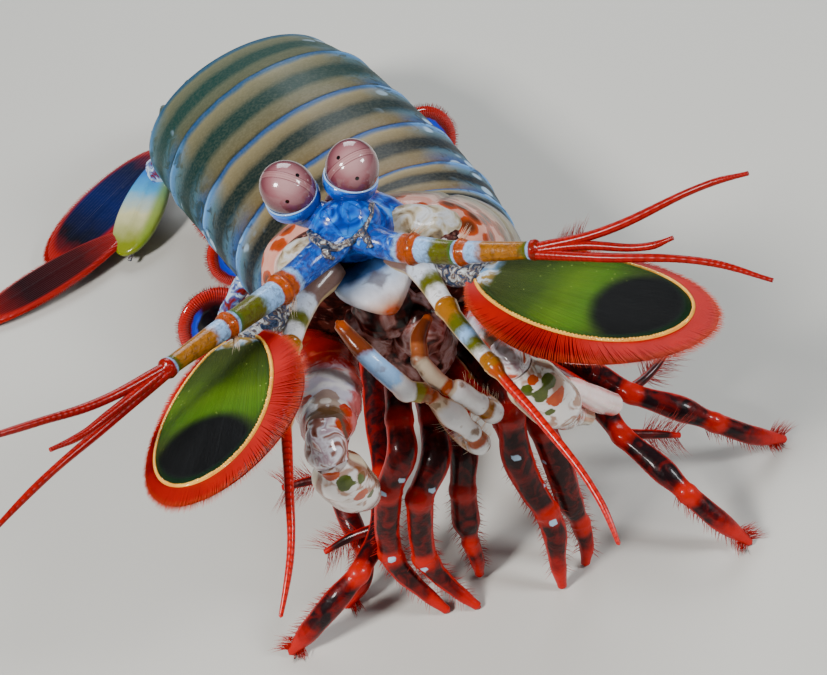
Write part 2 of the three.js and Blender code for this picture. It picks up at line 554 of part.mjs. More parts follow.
// third to fifth maxillipeds: hanging limbs that end in a small hooked claw
const maxillipeds = {
  maxilliped_3_right: [[1.6, 3.4, 23.4, 1.5], [0.2, -5.6, 23.4, 1.5], [-0.4, -8.0, 21.6, 1.55], [-2.9, -8.6, 17.6, 1.5],
    [-4.3, -8.5, 12.4, 1.3, 1.5], [-4.8, -8.2, 8.6, 1.4, 1.7], [-4.4, -8.6, 6.2, 1.1], [-2.6, -9.6, 2.6, 0.8],
    [-1.1, -10.5, -0.3, 0.7]],
  maxilliped_4_right: [[3.6, 5.4, 21.4, 1.5], [3.4, -3.6, 20.6, 1.5], [2.6, -7.6, 19.2, 1.55], [-0.2, -9.0, 15.6, 1.5],
    [-1.2, -8.9, 10.6, 1.3, 1.5], [-1.6, -8.9, 7.2, 1.4, 1.7], [-0.8, -9.3, 4.6, 1.0], [0.8, -10.4, 2.0, 0.75],
    [2.1, -11.2, -0.3, 0.65]],
  maxilliped_5_right: [[4.6, 7.6, 19.0, 1.5], [6.0, -0.6, 17.8, 1.4], [5.6, -4.6, 16.6, 1.5], [4.2, -6.0, 12.0, 1.5, 1.7],
    [3.6, -6.4, 8.0, 1.5, 1.8], [3.4, -7.0, 5.4, 1.0], [3.5, -7.3, 3.0, 0.8], [3.3, -7.4, 0.6, 0.6]],
  maxilliped_3_left: [[8.4, 3.4, 22.4, 1.5], [10.6, -5.6, 24.0, 1.5], [10.8, -8.8, 22.6, 1.5], [10.3, -9.6, 18.0, 1.6],
    [10.9, -10.2, 13.4, 1.4, 1.6], [11.7, -10.8, 10.4, 1.4, 1.7], [11.9, -11.0, 7.6, 1.3, 1.5], [11.4, -11.6, 3.6, 0.9],
    [11.2, -12.0, -0.3, 0.65]],
  maxilliped_4_left: [[8.2, 5.6, 20.6, 1.5], [12.2, -3.4, 20.4, 1.5], [13.6, -7.4, 18.6, 1.5], [14.2, -8.4, 13.0, 1.5, 1.6],
    [14.4, -8.6, 8.6, 1.4, 1.6], [14.9, -8.8, 5.2, 1.1], [14.9, -9.4, 2.4, 0.8], [14.3, -9.9, -0.3, 0.6]],
  maxilliped_5_left: [[7.4, 7.8, 18.6, 1.4], [9.6, 1.4, 17.4, 1.4], [10.4, -2.4, 16.2, 1.4], [10.8, -5.0, 12.6, 1.4, 1.5],
    [11.2, -6.0, 9.6, 1.3, 1.4], [11.4, -7.2, 7.8, 0.8], [11.4, -8.0, 6.6, 0.5]],
};
for (const [name, joints] of Object.entries(maxillipeds)) {
  add(name, colours.maroon, limb(joints, { steps: 2 }));
}

// walking legs: slender, each with a short outer branch
const legs = {
  walking_leg_1_left: {
    leg: [[9.6, 15.6, 16.6, 1.6], [15.6, 7.6, 13.4, 1.4], [20.5, -0.4, 12.2, 1.3], [21.6, -4.6, 11.4, 1.2],
      [24.4, -9.0, 9.2, 1.35, 1.2], [26.0, -11.2, 7.3, 1.15], [28.4, -12.9, 4.0, 1.1], [31.0, -13.8, -0.3, 0.5]],
    branch: [[21.6, -4.4, 11.4, 0.6], [24.6, -4.2, 10.0, 0.5], [27.6, -4.0, 8.4, 0.3]],
  },
  walking_leg_2_left: {
    leg: [[10.2, 18.6, 14.6, 1.6], [16.0, 11.6, 13.2, 1.4], [21.4, 4.0, 12.8, 1.3], [24.2, 1.3, 11.2, 1.2],
      [28.8, -0.7, 8.8, 1.4, 1.25], [31.9, -1.7, 6.4, 1.15], [35.6, -2.0, 3.2, 1.05], [39.6, -1.2, -0.3, 0.55]],
    branch: [[24.0, 1.6, 11.2, 0.6], [27.0, 3.4, 11.2, 0.5], [29.8, 5.4, 11.8, 0.3]],
  },
  walking_leg_3_left: {
    leg: [[10.4, 22.4, 12.8, 1.6], [16.0, 24.6, 12.6, 1.4], [20.6, 27.4, 12.4, 1.25], [22.6, 30.4, 9.6, 1.25],
      [24.4, 33.6, 6.0, 1.1], [26.0, 36.4, 2.8, 0.9], [27.2, 38.6, -0.3, 0.5]],
    branch: [[20.4, 27.4, 12.2, 0.6], [23.6, 27.6, 11.6, 0.5], [26.4, 28.4, 11.4, 0.3]],
  },
  walking_leg_1_right: {
    leg: [[-0.6, 15.6, 16.4, 1.6], [-2.4, 7.6, 12.4, 1.4], [-3.4, 0.6, 10.6, 1.3], [-5.4, -4.8, 8.4, 1.25],
      [-8.6, -8.6, 7.4, 1.2], [-11.6, -9.6, 5.8, 1.3, 1.1], [-15.2, -9.8, 2.8, 1.15], [-18.3, -9.9, -0.3, 0.6]],
    branch: [[-5.4, -4.2, 8.6, 0.6], [-8.4, -3.8, 8.0, 0.5], [-11.6, -3.6, 6.8, 0.3]],
  },
  walking_leg_2_right: {
    leg: [[-1.2, 18.6, 14.4, 1.6], [-5.4, 11.6, 12.2, 1.4], [-8.8, 4.6, 9.6, 1.25], [-8.2, -0.6, 7.0, 1.25],
      [-7.6, -3.6, 4.8, 1.15], [-8.8, -5.0, 2.6, 1.05], [-11.4, -6.0, -0.3, 0.6]],
    branch: [[-8.6, 4.2, 9.6, 0.6], [-11.6, 4.8, 9.4, 0.5], [-14.4, 5.0, 9.4, 0.3]],
  },
  walking_leg_3_right: {
    leg: [[-1.6, 22.4, 12.6, 1.6], [-7.2, 24.6, 11.8, 1.4], [-11.8, 27.4, 11.2, 1.25], [-13.4, 30.4, 8.8, 1.25],
      [-15.0, 33.4, 5.6, 1.1], [-16.2, 35.6, 2.8, 0.9], [-17.0, 37.4, -0.3, 0.5]],
    branch: [[-11.6, 27.4, 11.0, 0.6], [-14.6, 27.4, 10.6, 0.5], [-17.4, 27.8, 10.4, 0.3]],
  },
};
for (const [name, l] of Object.entries(legs)) {
  add(name, colours.maroon, fuse([
    limb(l.leg, { steps: 2 }),
    limb(l.branch, { steps: 1, sides: 5 }),
  ]));
}

// pleopods: a short stalk and a broad round paddle under each abdominal somite
const paddleSpread = [9.5, 10.5, 12.0, 11.0, 8.6];
const wideRight = 2;
const wideLeft = 3;
for (let i = 0; i < 5; i++) {
  const place = between([stations[i + 3], stations[i + 4]], 0.55);
  const { left, t } = frameOf(place);
  for (const [side, sign] of [["right", -1], ["left", 1]]) {
    const far = (side === "right" && i === wideRight) || (side === "left" && i === wideLeft);
    const out = sign * (paddleSpread[i] + (far ? (sign < 0 ? 7.4 : 6.4) : 0));
    const size = far ? 5.3 : 4.7;
    const low = Math.max(size - 0.5, 4.3);
    const top = vec(place.c).addScaledVector(left, sign * 6.5).add(new THREE.Vector3(0, 0, -1.6));
    const hub = vec(place.c).addScaledVector(left, out);
    hub.z = side === "left" && i === wideLeft ? 7.6 : low;
    hub.addScaledVector(t, far ? -0.6 : 0.4);
    const knee = top.clone().lerp(hub, 0.45).add(new THREE.Vector3(0, 0, 1.0));
    const stalk = limb([[...top.toArray(), 1.5], [...knee.toArray(), 1.3], [...hub.toArray(), 0.9]], { steps: 1, sides: 6 });
    const across = left.clone().multiplyScalar(sign);
    across.z = 0;
    const paddle = vane({
      centre: hub.toArray(),
      along: [-t.x * 0.2, -t.y * 0.2, -1],
      across: across.toArray(),
      rings: [paddleThickness + 0.3, paddleThickness],
      count: 14,
      outline: (ring, angle, k) => {
        const rim = size * (k % 2 ? 0.95 : 1.0);
        return [rim * Math.cos(angle), rim * 0.98 * Math.sin(angle)];
      },
    });
    add("pleopod_" + (i + 1) + "_" + side, colours.red, fuse([stalk, paddle]));
  }
}

// grown copy of a solid, each vertex pushed out along its normal
function grown(solid, gap) {
  const mesh = solid.getMesh();
  const geometry = new THREE.BufferGeometry();
  const position = new Float32Array(mesh.numVert * 3);
  for (let i = 0; i < mesh.numVert; i++) {
    for (let k = 0; k < 3; k++) position[i * 3 + k] = mesh.vertProperties[i * mesh.numProp + k];
  }
  geometry.setAttribute("position", new THREE.BufferAttribute(position, 3));
  geometry.setIndex(new THREE.BufferAttribute(new Uint32Array(mesh.triVerts), 1));
  geometry.computeVertexNormals();
  const normal = geometry.attributes.normal;
  for (let i = 0; i < mesh.numVert; i++) {
    position[i * 3] += gap * normal.getX(i);
    position[i * 3 + 1] += gap * normal.getY(i);
    position[i * 3 + 2] += gap * normal.getZ(i);
  }
  return new Manifold(new Mesh({
    numProp: 3,
    vertProperties: position,
    triVerts: new Uint32Array(mesh.triVerts),
  }));
}

function largest(solid) {
  return solid.decompose().reduce((best, next) => (next.volume() > best.volume() ? next : best));
}

const near = (p, q, reach) => [0, 1, 2].every((k) => p.min[k] - reach < q.max[k] && q.min[k] - reach < p.max[k]);

// each piece gives way to the pieces before it, with the clearance between them
const done = [];
for (const piece of order) {
  let solid = piece.solid;
  for (const earlier of done) {
    if (!near(solid.boundingBox(), earlier.box, plateGap)) continue;
    const cut = solid.subtract(earlier.grown);
    if (solid.volume() - cut.volume() > 1e-6) solid = largest(cut);
  }
  solid = largest(solid.trimByPlane([0, 0, 1], floorZ)).simplify(smoothing);
  done.push({ ...piece, solid, grown: grown(solid, plateGap), box: solid.boundingBox() });
}

// centre the whole over the origin and name the meshes
const min = [Infinity, Infinity];
const max = [-Infinity, -Infinity];
for (const { box } of done) {
  for (const k of [0, 1]) {
    min[k] = Math.min(min[k], box.min[k]);
    max[k] = Math.max(max[k], box.max[k]);
  }
}
const group = new THREE.Group();
group.name = "mantis_shrimp";
for (const { name, colour, solid } of done) {
  const mesh = solid.getMesh();
  const position = new Float32Array(mesh.numVert * 3);
  for (let i = 0; i < mesh.numVert; i++) {
    for (let k = 0; k < 3; k++) {
      const shift = k < 2 ? (min[k] + max[k]) / 2 : 0;
      position[i * 3 + k] = mesh.vertProperties[i * mesh.numProp + k] - shift;
    }
  }
  const geometry = new THREE.BufferGeometry();
  geometry.setAttribute("position", new THREE.BufferAttribute(position, 3));
  geometry.setIndex(new THREE.BufferAttribute(new Uint32Array(mesh.triVerts), 1));
  const part = new THREE.Mesh(geometry, new THREE.MeshStandardMaterial({ color: colour }));
  part.name = name;
  group.add(part);
}

export default group;
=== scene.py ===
import json
import math
import random

import bpy
import numpy as np
from mathutils import Matrix, Vector, noise
from mathutils.bvhtree import BVHTree

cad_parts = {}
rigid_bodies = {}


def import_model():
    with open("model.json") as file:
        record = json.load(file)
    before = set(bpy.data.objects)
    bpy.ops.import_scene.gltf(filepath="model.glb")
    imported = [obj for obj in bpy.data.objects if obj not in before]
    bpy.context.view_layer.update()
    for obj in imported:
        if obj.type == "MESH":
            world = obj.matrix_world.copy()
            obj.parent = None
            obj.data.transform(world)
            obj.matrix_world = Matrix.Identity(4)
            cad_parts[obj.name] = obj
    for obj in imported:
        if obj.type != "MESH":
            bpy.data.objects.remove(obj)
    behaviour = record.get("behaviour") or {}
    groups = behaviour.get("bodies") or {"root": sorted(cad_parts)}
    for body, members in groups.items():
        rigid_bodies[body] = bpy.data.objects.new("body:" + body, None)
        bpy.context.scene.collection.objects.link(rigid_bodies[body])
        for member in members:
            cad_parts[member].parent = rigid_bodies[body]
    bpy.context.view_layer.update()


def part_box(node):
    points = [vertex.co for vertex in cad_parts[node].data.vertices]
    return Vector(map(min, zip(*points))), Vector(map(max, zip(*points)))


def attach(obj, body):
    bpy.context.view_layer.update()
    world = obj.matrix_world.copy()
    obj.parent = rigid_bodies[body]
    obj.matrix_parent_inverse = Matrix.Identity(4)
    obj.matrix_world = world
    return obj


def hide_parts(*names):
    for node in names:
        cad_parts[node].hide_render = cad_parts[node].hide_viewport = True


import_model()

mm = 0.001
hairFloor = 0.04  # bristles stay this far above the floor, in mm
jointReach = 1.9  # how far the colour of a joint spreads from it, in mm

# all joints below are in mm, from midway between the eyes in x, the right eye in y and the floor in z
eyeBoxes = [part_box("cornea_right"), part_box("cornea_left")]
midEyes = 0.05  # the left eye sits 0.1 mm further back than the right one, which is at y 0
origin = (eyeBoxes[0][0] + eyeBoxes[0][1] + eyeBoxes[1][0] + eyeBoxes[1][1]) / 4
origin.y -= midEyes * mm
origin.z = 0
originRow = np.array(origin)

view = {
    "place": (3.94, -140.8, 146.6),
    "elevation": 40,
    "roll": 17,
    "focal": 80.5,
    "sensor": 36,
    "width": 827,
    "height": 675,
}
rollAngle = math.radians(view["roll"])
tiltAngle = math.radians(view["elevation"])
flatRight = Vector((1, 0, 0))
flatUp = Vector((0, math.sin(tiltAngle), math.cos(tiltAngle)))
toCamera = Vector((0, -math.cos(tiltAngle), math.sin(tiltAngle)))
cameraRight = flatRight * math.cos(rollAngle) - flatUp * math.sin(rollAngle)
cameraUp = flatRight * math.sin(rollAngle) + flatUp * math.cos(rollAngle)


def place(x, y, z):
    return Vector((x, y, z)) * mm + origin


def inView(x, y, z):
    # a direction given to the right, up and towards the viewer
    return cameraRight * x + cameraUp * y + toCamera * z


def unit(vector):
    vector = np.asarray(vector, float)
    return vector / np.maximum(np.linalg.norm(vector, axis=-1, keepdims=True), 1e-9)


def plateFrame(along, across):
    # three unit directions: along a plate, across it and out of it
    a = unit(along)
    b = np.asarray(across, float)
    b = unit(b - a * (b @ a))
    return a, b, np.cross(a, b)


def hitPoint(pieces, across, down):
    # where the line of sight through a picture point first meets the pieces, in mm, or None
    span = view["sensor"] / view["width"] / view["focal"]
    ray = cameraRight * (across - view["width"] / 2) * span + cameraUp * (view["height"] / 2 - down) * span
    start = place(*view["place"])
    best = None
    for piece in pieces:
        tree = BVHTree.FromPolygons([v.co[:] for v in piece.data.vertices],
                                    [p.vertices[:] for p in piece.data.polygons])
        spot, normal, index, far = tree.ray_cast(start, (ray - toCamera).normalized())
        if spot and (best is None or far < best[0]):
            best = (far, np.array((spot - origin) / mm))
    return best[1] if best else None


def markSpots(piece, name, spots, soft=0.25):
    # 1 inside each round spot seen in the picture, 0 outside; a spot is across, down, radius in mm
    co = millimetres(piece)
    share = np.zeros(len(co))
    for across, down, radius in spots:
        centre = hitPoint([piece], across, down)
        if centre is not None:
            far = np.linalg.norm(co - centre, axis=1)
            share = np.maximum(share, np.clip((radius + soft - far) / (2 * soft), 0, 1))
    putAttribute(piece, name, share)


def putAttribute(obj, name, values):
    attribute = obj.data.attributes.new(name, "FLOAT", "POINT")
    attribute.data.foreach_set("value", np.asarray(values, np.float32))


def readPoints(obj):
    co = np.empty(len(obj.data.vertices) * 3, np.float32)
    obj.data.vertices.foreach_get("co", co)
    return co.reshape(-1, 3).astype(float)


def writePoints(obj, co):
    obj.data.vertices.foreach_set("co", np.asarray(co, np.float32).ravel())
    obj.data.update()


def millimetres(obj):
    return (readPoints(obj) - originRow) / mm


def turnTo(direction):
    return Vector((0, 0, 1)).rotation_difference(Vector(direction)).to_matrix().to_4x4()


def choose(*pieces):
    bpy.ops.object.select_all(action="DESELECT")
    for piece in pieces:
        piece.select_set(True)
    bpy.context.view_layer.objects.active = pieces[0]


def label(obj, name):
    obj.name = name
    obj.data.name = name
    return obj


def cleanSkin(obj, fill=False, weld=0.004, angle=50):
    # seams welded, open ends filled if asked, every face turned outward
    choose(obj)
    bpy.ops.object.mode_set(mode="EDIT")
    bpy.ops.mesh.select_all(action="SELECT")
    bpy.ops.mesh.remove_doubles(threshold=weld * mm)
    if fill:
        bpy.ops.mesh.select_all(action="SELECT")
        bpy.ops.mesh.fill_holes(sides=0)
    bpy.ops.mesh.select_all(action="SELECT")
    bpy.ops.mesh.normals_make_consistent(inside=False)
    bpy.ops.object.mode_set(mode="OBJECT")
    bpy.ops.object.shade_smooth_by_angle(angle=math.radians(angle))
    return obj


def addModifier(obj, kind, **settings):
    choose(obj)
    made = obj.modifiers.new(kind.title(), kind)
    for key, value in settings.items():
        setattr(made, key, value)
    bpy.ops.object.modifier_apply(modifier=made.name)
    return obj


def joinAll(name, pieces):
    choose(*pieces)
    bpy.ops.object.join()
    return label(pieces[0], name)


def nearest(co, joints):
    # place of each point along the joints, in joint numbers, its offset from the line between them
    # and the direction of that line
    nodes = np.array([j[:3] for j in joints], float)
    best = np.full(len(co), 1e9)
    along = np.zeros(len(co))
    offset = np.zeros_like(co)
    tangent = np.zeros_like(co)
    for k in range(len(nodes) - 1):
        step = nodes[k + 1] - nodes[k]
        t = np.clip(((co - nodes[k]) @ step) / (step @ step), 0, 1)
        gap = co - (nodes[k] + t[:, None] * step)
        far = np.linalg.norm(gap, axis=1)
        closer = far < best
        best[closer] = far[closer]
        along[closer] = k + t[closer]
        offset[closer] = gap[closer]
        tangent[closer] = unit(step)
    return along, offset, tangent


def drawLimb(name, joints, sides=5, steps=6, up=(0, 0, 1), flat=1.0, knots=()):
    # a curve drawn from joint to joint; sides is the bevel resolution, flat thins it towards the viewer
    bpy.ops.object.select_all(action="DESELECT")
    bpy.ops.curve.primitive_bezier_curve_add(location=(0, 0, 0), enter_editmode=True)
    bpy.ops.curve.select_all(action="SELECT")
    bpy.ops.curve.delete(type="VERT")
    for joint in joints:
        bpy.ops.curve.vertex_add(location=place(*joint[:3]))
    bpy.ops.curve.select_all(action="SELECT")
    bpy.ops.curve.handle_type_set(type="AUTOMATIC")
    bpy.ops.object.mode_set(mode="OBJECT")
    obj = bpy.context.object
    curve = obj.data
    curve.dimensions = "3D"
    curve.fill_mode = "FULL"
    curve.bevel_depth = mm
    curve.bevel_resolution = sides
    curve.resolution_u = steps
    curve.use_fill_caps = True
    curve.splines[0].radius_interpolation = "EASE"
    for bezier, joint in zip(curve.splines[0].bezier_points, joints):
        bezier.radius = joint[3]
    bpy.ops.object.convert(target="MESH")
    obj = label(bpy.context.object, name)
    cleanSkin(obj)
    co = millimetres(obj)
    along, offset, tangent = nearest(co, joints)
    if flat != 1.0 or any(len(joint) > 4 for joint in joints):
        across = unit(np.cross(tangent, np.array(up, float)))
        wide = [(joint[4] if len(joint) > 4 else joint[3]) / joint[3] for joint in joints]
        stretch = np.interp(along, range(len(joints)), wide) - 1
        co = co + across * (np.sum(offset * across, axis=1) * stretch)[:, None]
        front = unit(np.cross(np.cross(tangent, np.array(toCamera)), tangent))
        co = co - front * (np.sum(offset * front, axis=1) * (1 - flat))[:, None]
    writePoints(obj, co * mm + originRow)
    edgeways = unit(np.cross(tangent, np.array(toCamera)))
    reach = np.full(len(co), 9.0)
    for k in knots:
        reach = np.minimum(reach, np.linalg.norm(co - np.array(joints[k][:3]), axis=1))
    putAttribute(obj, "joint", np.exp(-(reach / jointReach) ** 2))
    putAttribute(obj, "along", along)
    putAttribute(obj, "edge", np.sum(unit(offset) * edgeways, axis=1))
    return obj


def wrapGrid(name, columns, rows, form, fill=False, angle=50):
    # a grid rolled or bent into shape: form gives points in mm and the values that its finish reads
    bpy.ops.object.select_all(action="DESELECT")
    bpy.ops.mesh.primitive_grid_add(x_subdivisions=columns, y_subdivisions=rows, size=2, location=(0, 0, 0))
    obj = label(bpy.context.object, name)
    flatCo = readPoints(obj)
    points, values = form((flatCo[:, 0] + 1) / 2, (flatCo[:, 1] + 1) / 2)
    writePoints(obj, points * mm + originRow)
    for key, value in values.items():
        putAttribute(obj, key, value)
    return cleanSkin(obj, fill, angle=angle)


def drawVane(name, centre, along, across, outline, thickness, camber=0.0, rings=14, columns=72, relief=None):
    # thin plate round a centre; outline gives its edge for an angle, in mm
    a, b, normal = plateFrame(along, across)
    edgeSteps = 720
    edge = np.array([outline(2 * math.pi * (k / edgeSteps - 0.5)) for k in range(edgeSteps)])
    size = np.abs(edge).max(axis=0)

    def form(u, v):
        # v runs from the under side's pole over the rim to the top side's pole
        spot = u * edgeSteps % edgeSteps
        x = np.interp(spot, range(edgeSteps), edge[:, 0], period=edgeSteps)
        y = np.interp(spot, range(edgeSteps), edge[:, 1], period=edgeSteps)
        side = np.where(v < 0.5, -1.0, 1.0)
        reach = 1 - np.abs(2 * v - 1)
        reach = np.sin(reach * math.pi / 2)
        x, y = x * reach, y * reach
        half = thickness / 2 * np.sqrt(np.clip(1 - reach ** 10, 0, 1))
        lift = side * half - camber * y * y
        if relief:
            lift = lift + side * relief(x / size[0], y / size[1], reach)
        points = np.array(centre) + np.outer(x, a) + np.outer(y, b) + np.outer(lift, normal)
        turn = (u - 0.5) * 2 * math.pi
        return points, {"lx": x / size[0], "ly": y / size[1], "reach": reach, "turn": turn}

    return wrapGrid(name, columns, rings * 2, form, angle=60)


def egg(length, width, blunt=0.0):
    return lambda angle: (
        length / 2 * math.cos(angle),
        width / 2 * math.sin(angle) * (1 + blunt * math.cos(angle)),
    )


def ball(name, centre, radii, along=(0, 0, 1), segments=32, rings=20, rough=0.0, grain=1.0):
    bpy.ops.object.select_all(action="DESELECT")
    bpy.ops.mesh.primitive_uv_sphere_add(segments=segments, ring_count=rings, radius=1, location=(0, 0, 0))
    obj = label(bpy.context.object, name)
    stretch = Matrix.Diagonal((*(radius * mm for radius in radii), 1))
    obj.data.transform(Matrix.Translation(place(*centre)) @ turnTo(along) @ stretch)
    if rough:
        for vertex in obj.data.vertices:
            bump = noise.fractal(vertex.co / (grain * mm), 0.9, 2.1, 4)
            vertex.co += vertex.normal * bump * rough * mm
    bpy.ops.object.shade_smooth_by_angle(angle=math.radians(60))
    return obj


def bristles(name, rows, radius):
    # many tapered three-sided bristles in one mesh, each with a small patch of its own in OFBake;
    # a row holds a bristle's root, heading, length, bend and place in the map
    roots, heads, lengths, bends, unwrap = (np.array(column, float) for column in zip(*rows))
    heads = unit(heads)
    lengths = lengths[:, None]
    first = unit(np.cross(heads, np.array([0.31, 0.52, 0.79])))
    second = np.cross(heads, first)
    rings = []
    for share, thick in ((0.0, 1.0), (0.35, 0.85), (0.7, 0.5)):
        middle = roots + heads * lengths * share + bends * lengths * share ** 2
        for k in range(3):
            turn = 2 * math.pi * k / 3
            rings.append(middle + (first * math.cos(turn) + second * math.sin(turn)) * radius * thick)
    rings.append(roots + heads * lengths + bends * lengths)
    points = np.stack(rings, axis=1)
    points[:, :, 2] = np.maximum(points[:, :, 2], hairFloor)
    count = len(roots)
    faces = [(0, 2, 1)]
    for level in (0, 3):
        faces += [(level + k, level + (k + 1) % 3, level + 3 + (k + 1) % 3) for k in range(3)]
        faces += [(level + k, level + 3 + (k + 1) % 3, level + 3 + k) for k in range(3)]
    faces += [(6 + k, 6 + (k + 1) % 3, 9) for k in range(3)]
    tris = (np.array(faces)[None] + 10 * np.arange(count)[:, None, None]).reshape(-1, 3)
    mesh = bpy.data.meshes.new(name)
    mesh.from_pydata((points.reshape(-1, 3) * mm + originRow).tolist(), [], tris.tolist())
    obj = bpy.data.objects.new(name, mesh)
    bpy.context.scene.collection.objects.link(obj)
    putAttribute(obj, "tip", np.tile([0, 0, 0, 0.35, 0.35, 0.35, 0.7, 0.7, 0.7, 1.0], count))
    layer = mesh.uv_layers.new(name="OFBake")
    corner = tris.reshape(-1)
    patch = 0.003 * np.stack([(corner % 10 % 3) / 2, (corner % 10) / 9], axis=1)
    layer.data.foreach_set("uv", (unwrap[corner // 10] + patch).astype(np.float32).ravel())
    return cleanSkin(obj, weld=0.0001, angle=80)


def roundMap(angle):
    # place in the map of a bristle that stands on a round rim
    return 0.5 + 0.4 * math.cos(angle), 0.5 + 0.4 * math.sin(angle)


class Field:  # a shader socket that takes part in plain arithmetic
    def __init__(self, paint, socket):
        self.paint = paint
        self.socket = socket

    def math(self, operation, first, second):
        return self.paint.node("ShaderNodeMath", {"operation": operation}, {0: first, 1: second})

    def __add__(self, other):
        return self.math("ADD", self, other)

    def __sub__(self, other):
        return self.math("SUBTRACT", self, other)

    def __rsub__(self, other):
        return self.math("SUBTRACT", other, self)

    def __mul__(self, other):
        return self.math("MULTIPLY", self, other)

    def __truediv__(self, other):
        return self.math("DIVIDE", self, other)

    def __pow__(self, other):
        return self.math("POWER", self, other)

    def __abs__(self):
        return self.math("ABSOLUTE", self, 0)

    def sine(self):
        return self.math("SINE", self, 0)

    def arctan2(self, other):
        return self.math("ARCTAN2", self, other)

    __radd__ = __add__
    __rmul__ = __mul__


def rgb(red, green, blue):  # screen colour, 0 to 255, to the renderer's own
    return tuple(((c / 255 + 0.055) / 1.055) ** 2.4 for c in (red, green, blue)) + (1,)


class Paint:  # one material
    def __init__(self, name, **constants):
        self.material = bpy.data.materials.new(name)
        self.material.use_nodes = True
        self.tree = self.material.node_tree
        self.tree.nodes.clear()
        output = self.tree.nodes.new("ShaderNodeOutputMaterial")
        self.shader = self.tree.nodes.new("ShaderNodeBsdfPrincipled")
        self.tree.links.new(self.shader.outputs[0], output.inputs[0])
        constants = {"Specular_IOR_Level": 0.12, **constants}
        for key, value in constants.items():
            self.shader.inputs[key.replace("_", " ")].default_value = value
        self.co = self.node("ShaderNodeTexCoord", output=3)

    def node(self, kind, settings=None, inputs=None, output=0):
        made = self.tree.nodes.new(kind)
        for key, value in (settings or {}).items():
            if key == "stops":
                ramp = made.color_ramp
                while len(ramp.elements) < len(value):
                    ramp.elements.new(0.5)
                for element, (spot, colour) in zip(ramp.elements, value):
                    element.position = spot
                    element.color = colour
            else:
                setattr(made, key, value)
        for key, value in (inputs or {}).items():
            self.feed(made.inputs[key], value)
        return Field(self, made.outputs[output])

    def feed(self, socket, value):
        if isinstance(value, Field):
            self.tree.links.new(value.socket, socket)
        else:
            socket.default_value = value

    def value(self, name):
        return self.node("ShaderNodeAttribute", {"attribute_name": name}, output=2)

    def noise(self, size, detail=3, rough=0.5, warp=0.0):
        inputs = {"Vector": self.co, "Scale": 1 / (size * mm), "Detail": detail, "Roughness": rough,
                  "Distortion": warp}
        return self.node("ShaderNodeTexNoise", {}, inputs)

    def stripes(self, value, detail=2):
        # uneven lines that change only with the value
        return self.node("ShaderNodeTexNoise", {"noise_dimensions": "1D"}, {"W": value, "Detail": detail})

    def cells(self, size, feature="F1"):
        inputs = {"Vector": self.co, "Scale": 1 / (size * mm)}
        return self.node("ShaderNodeTexVoronoi", {"feature": feature}, inputs)

    def step(self, value, low, high):
        settings = {"interpolation_type": "SMOOTHSTEP"}
        return self.node("ShaderNodeMapRange", settings, {0: value, 1: low, 2: high})

    def mix(self, share, below, above):
        return self.node("ShaderNodeMix", {"data_type": "RGBA"}, {0: share, 6: below, 7: above}, 2)

    def ramp(self, value, stops):
        return self.node("ShaderNodeValToRGB", {"stops": stops}, {0: value})

    def bands(self, value, count, stops, soft=0.08):
        # colours that change at set places along a limb, each change a short blend
        spots = [(0.0, stops[0][1])]
        for (start, before), (end, after) in zip(stops, stops[1:]):
            spots += [((end - soft) / count, before), ((end + soft) / count, after)]
        return self.ramp(value / count, spots)

    def finish(self, colour, roughness=None, height=None, depth=0.1):
        # depth is how high the relief stands, in mm
        self.feed(self.shader.inputs["Base Color"], colour)
        if roughness is not None:
            self.feed(self.shader.inputs["Roughness"], roughness)
        if height is not None:
            inputs = {"Height": height, "Distance": depth * mm, "Strength": 1.0}
            bump = self.node("ShaderNodeBump", {}, inputs)
            self.feed(self.shader.inputs["Normal"], bump)
        return self.material


def dress(obj, material, slot, *nodes):
    # the finish goes on, nothing sinks into the floor, and the piece takes its place on the part
    obj.data.materials.clear()
    obj.data.materials.append(material)
    points = readPoints(obj)
    points[:, 2] = np.maximum(points[:, 2], 0)
    writePoints(obj, points)
    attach(obj, "root")
    if nodes:
        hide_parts(*nodes)


white = rgb(226, 226, 228)
paleBlue = rgb(140, 184, 232)
orange = rgb(158, 64, 4)
olive = rgb(84, 86, 8)
gold = rgb(150, 92, 10)
deepRed = rgb(136, 6, 2)
brightRed = rgb(190, 14, 4)
blue = rgb(12, 92, 196)

print("body rings")

body = {
    "columns": 120,
    "rows": 44,
    "archShare": 0.72,
    "tan": rgb(104, 90, 62),
    "dark": rgb(15, 20, 19),
    "brown": rgb(44, 24, 8),
    "edgeBlue": rgb(26, 66, 130),
    "flankBlue": rgb(34, 74, 134),
    "teal": rgb(20, 74, 66),
}
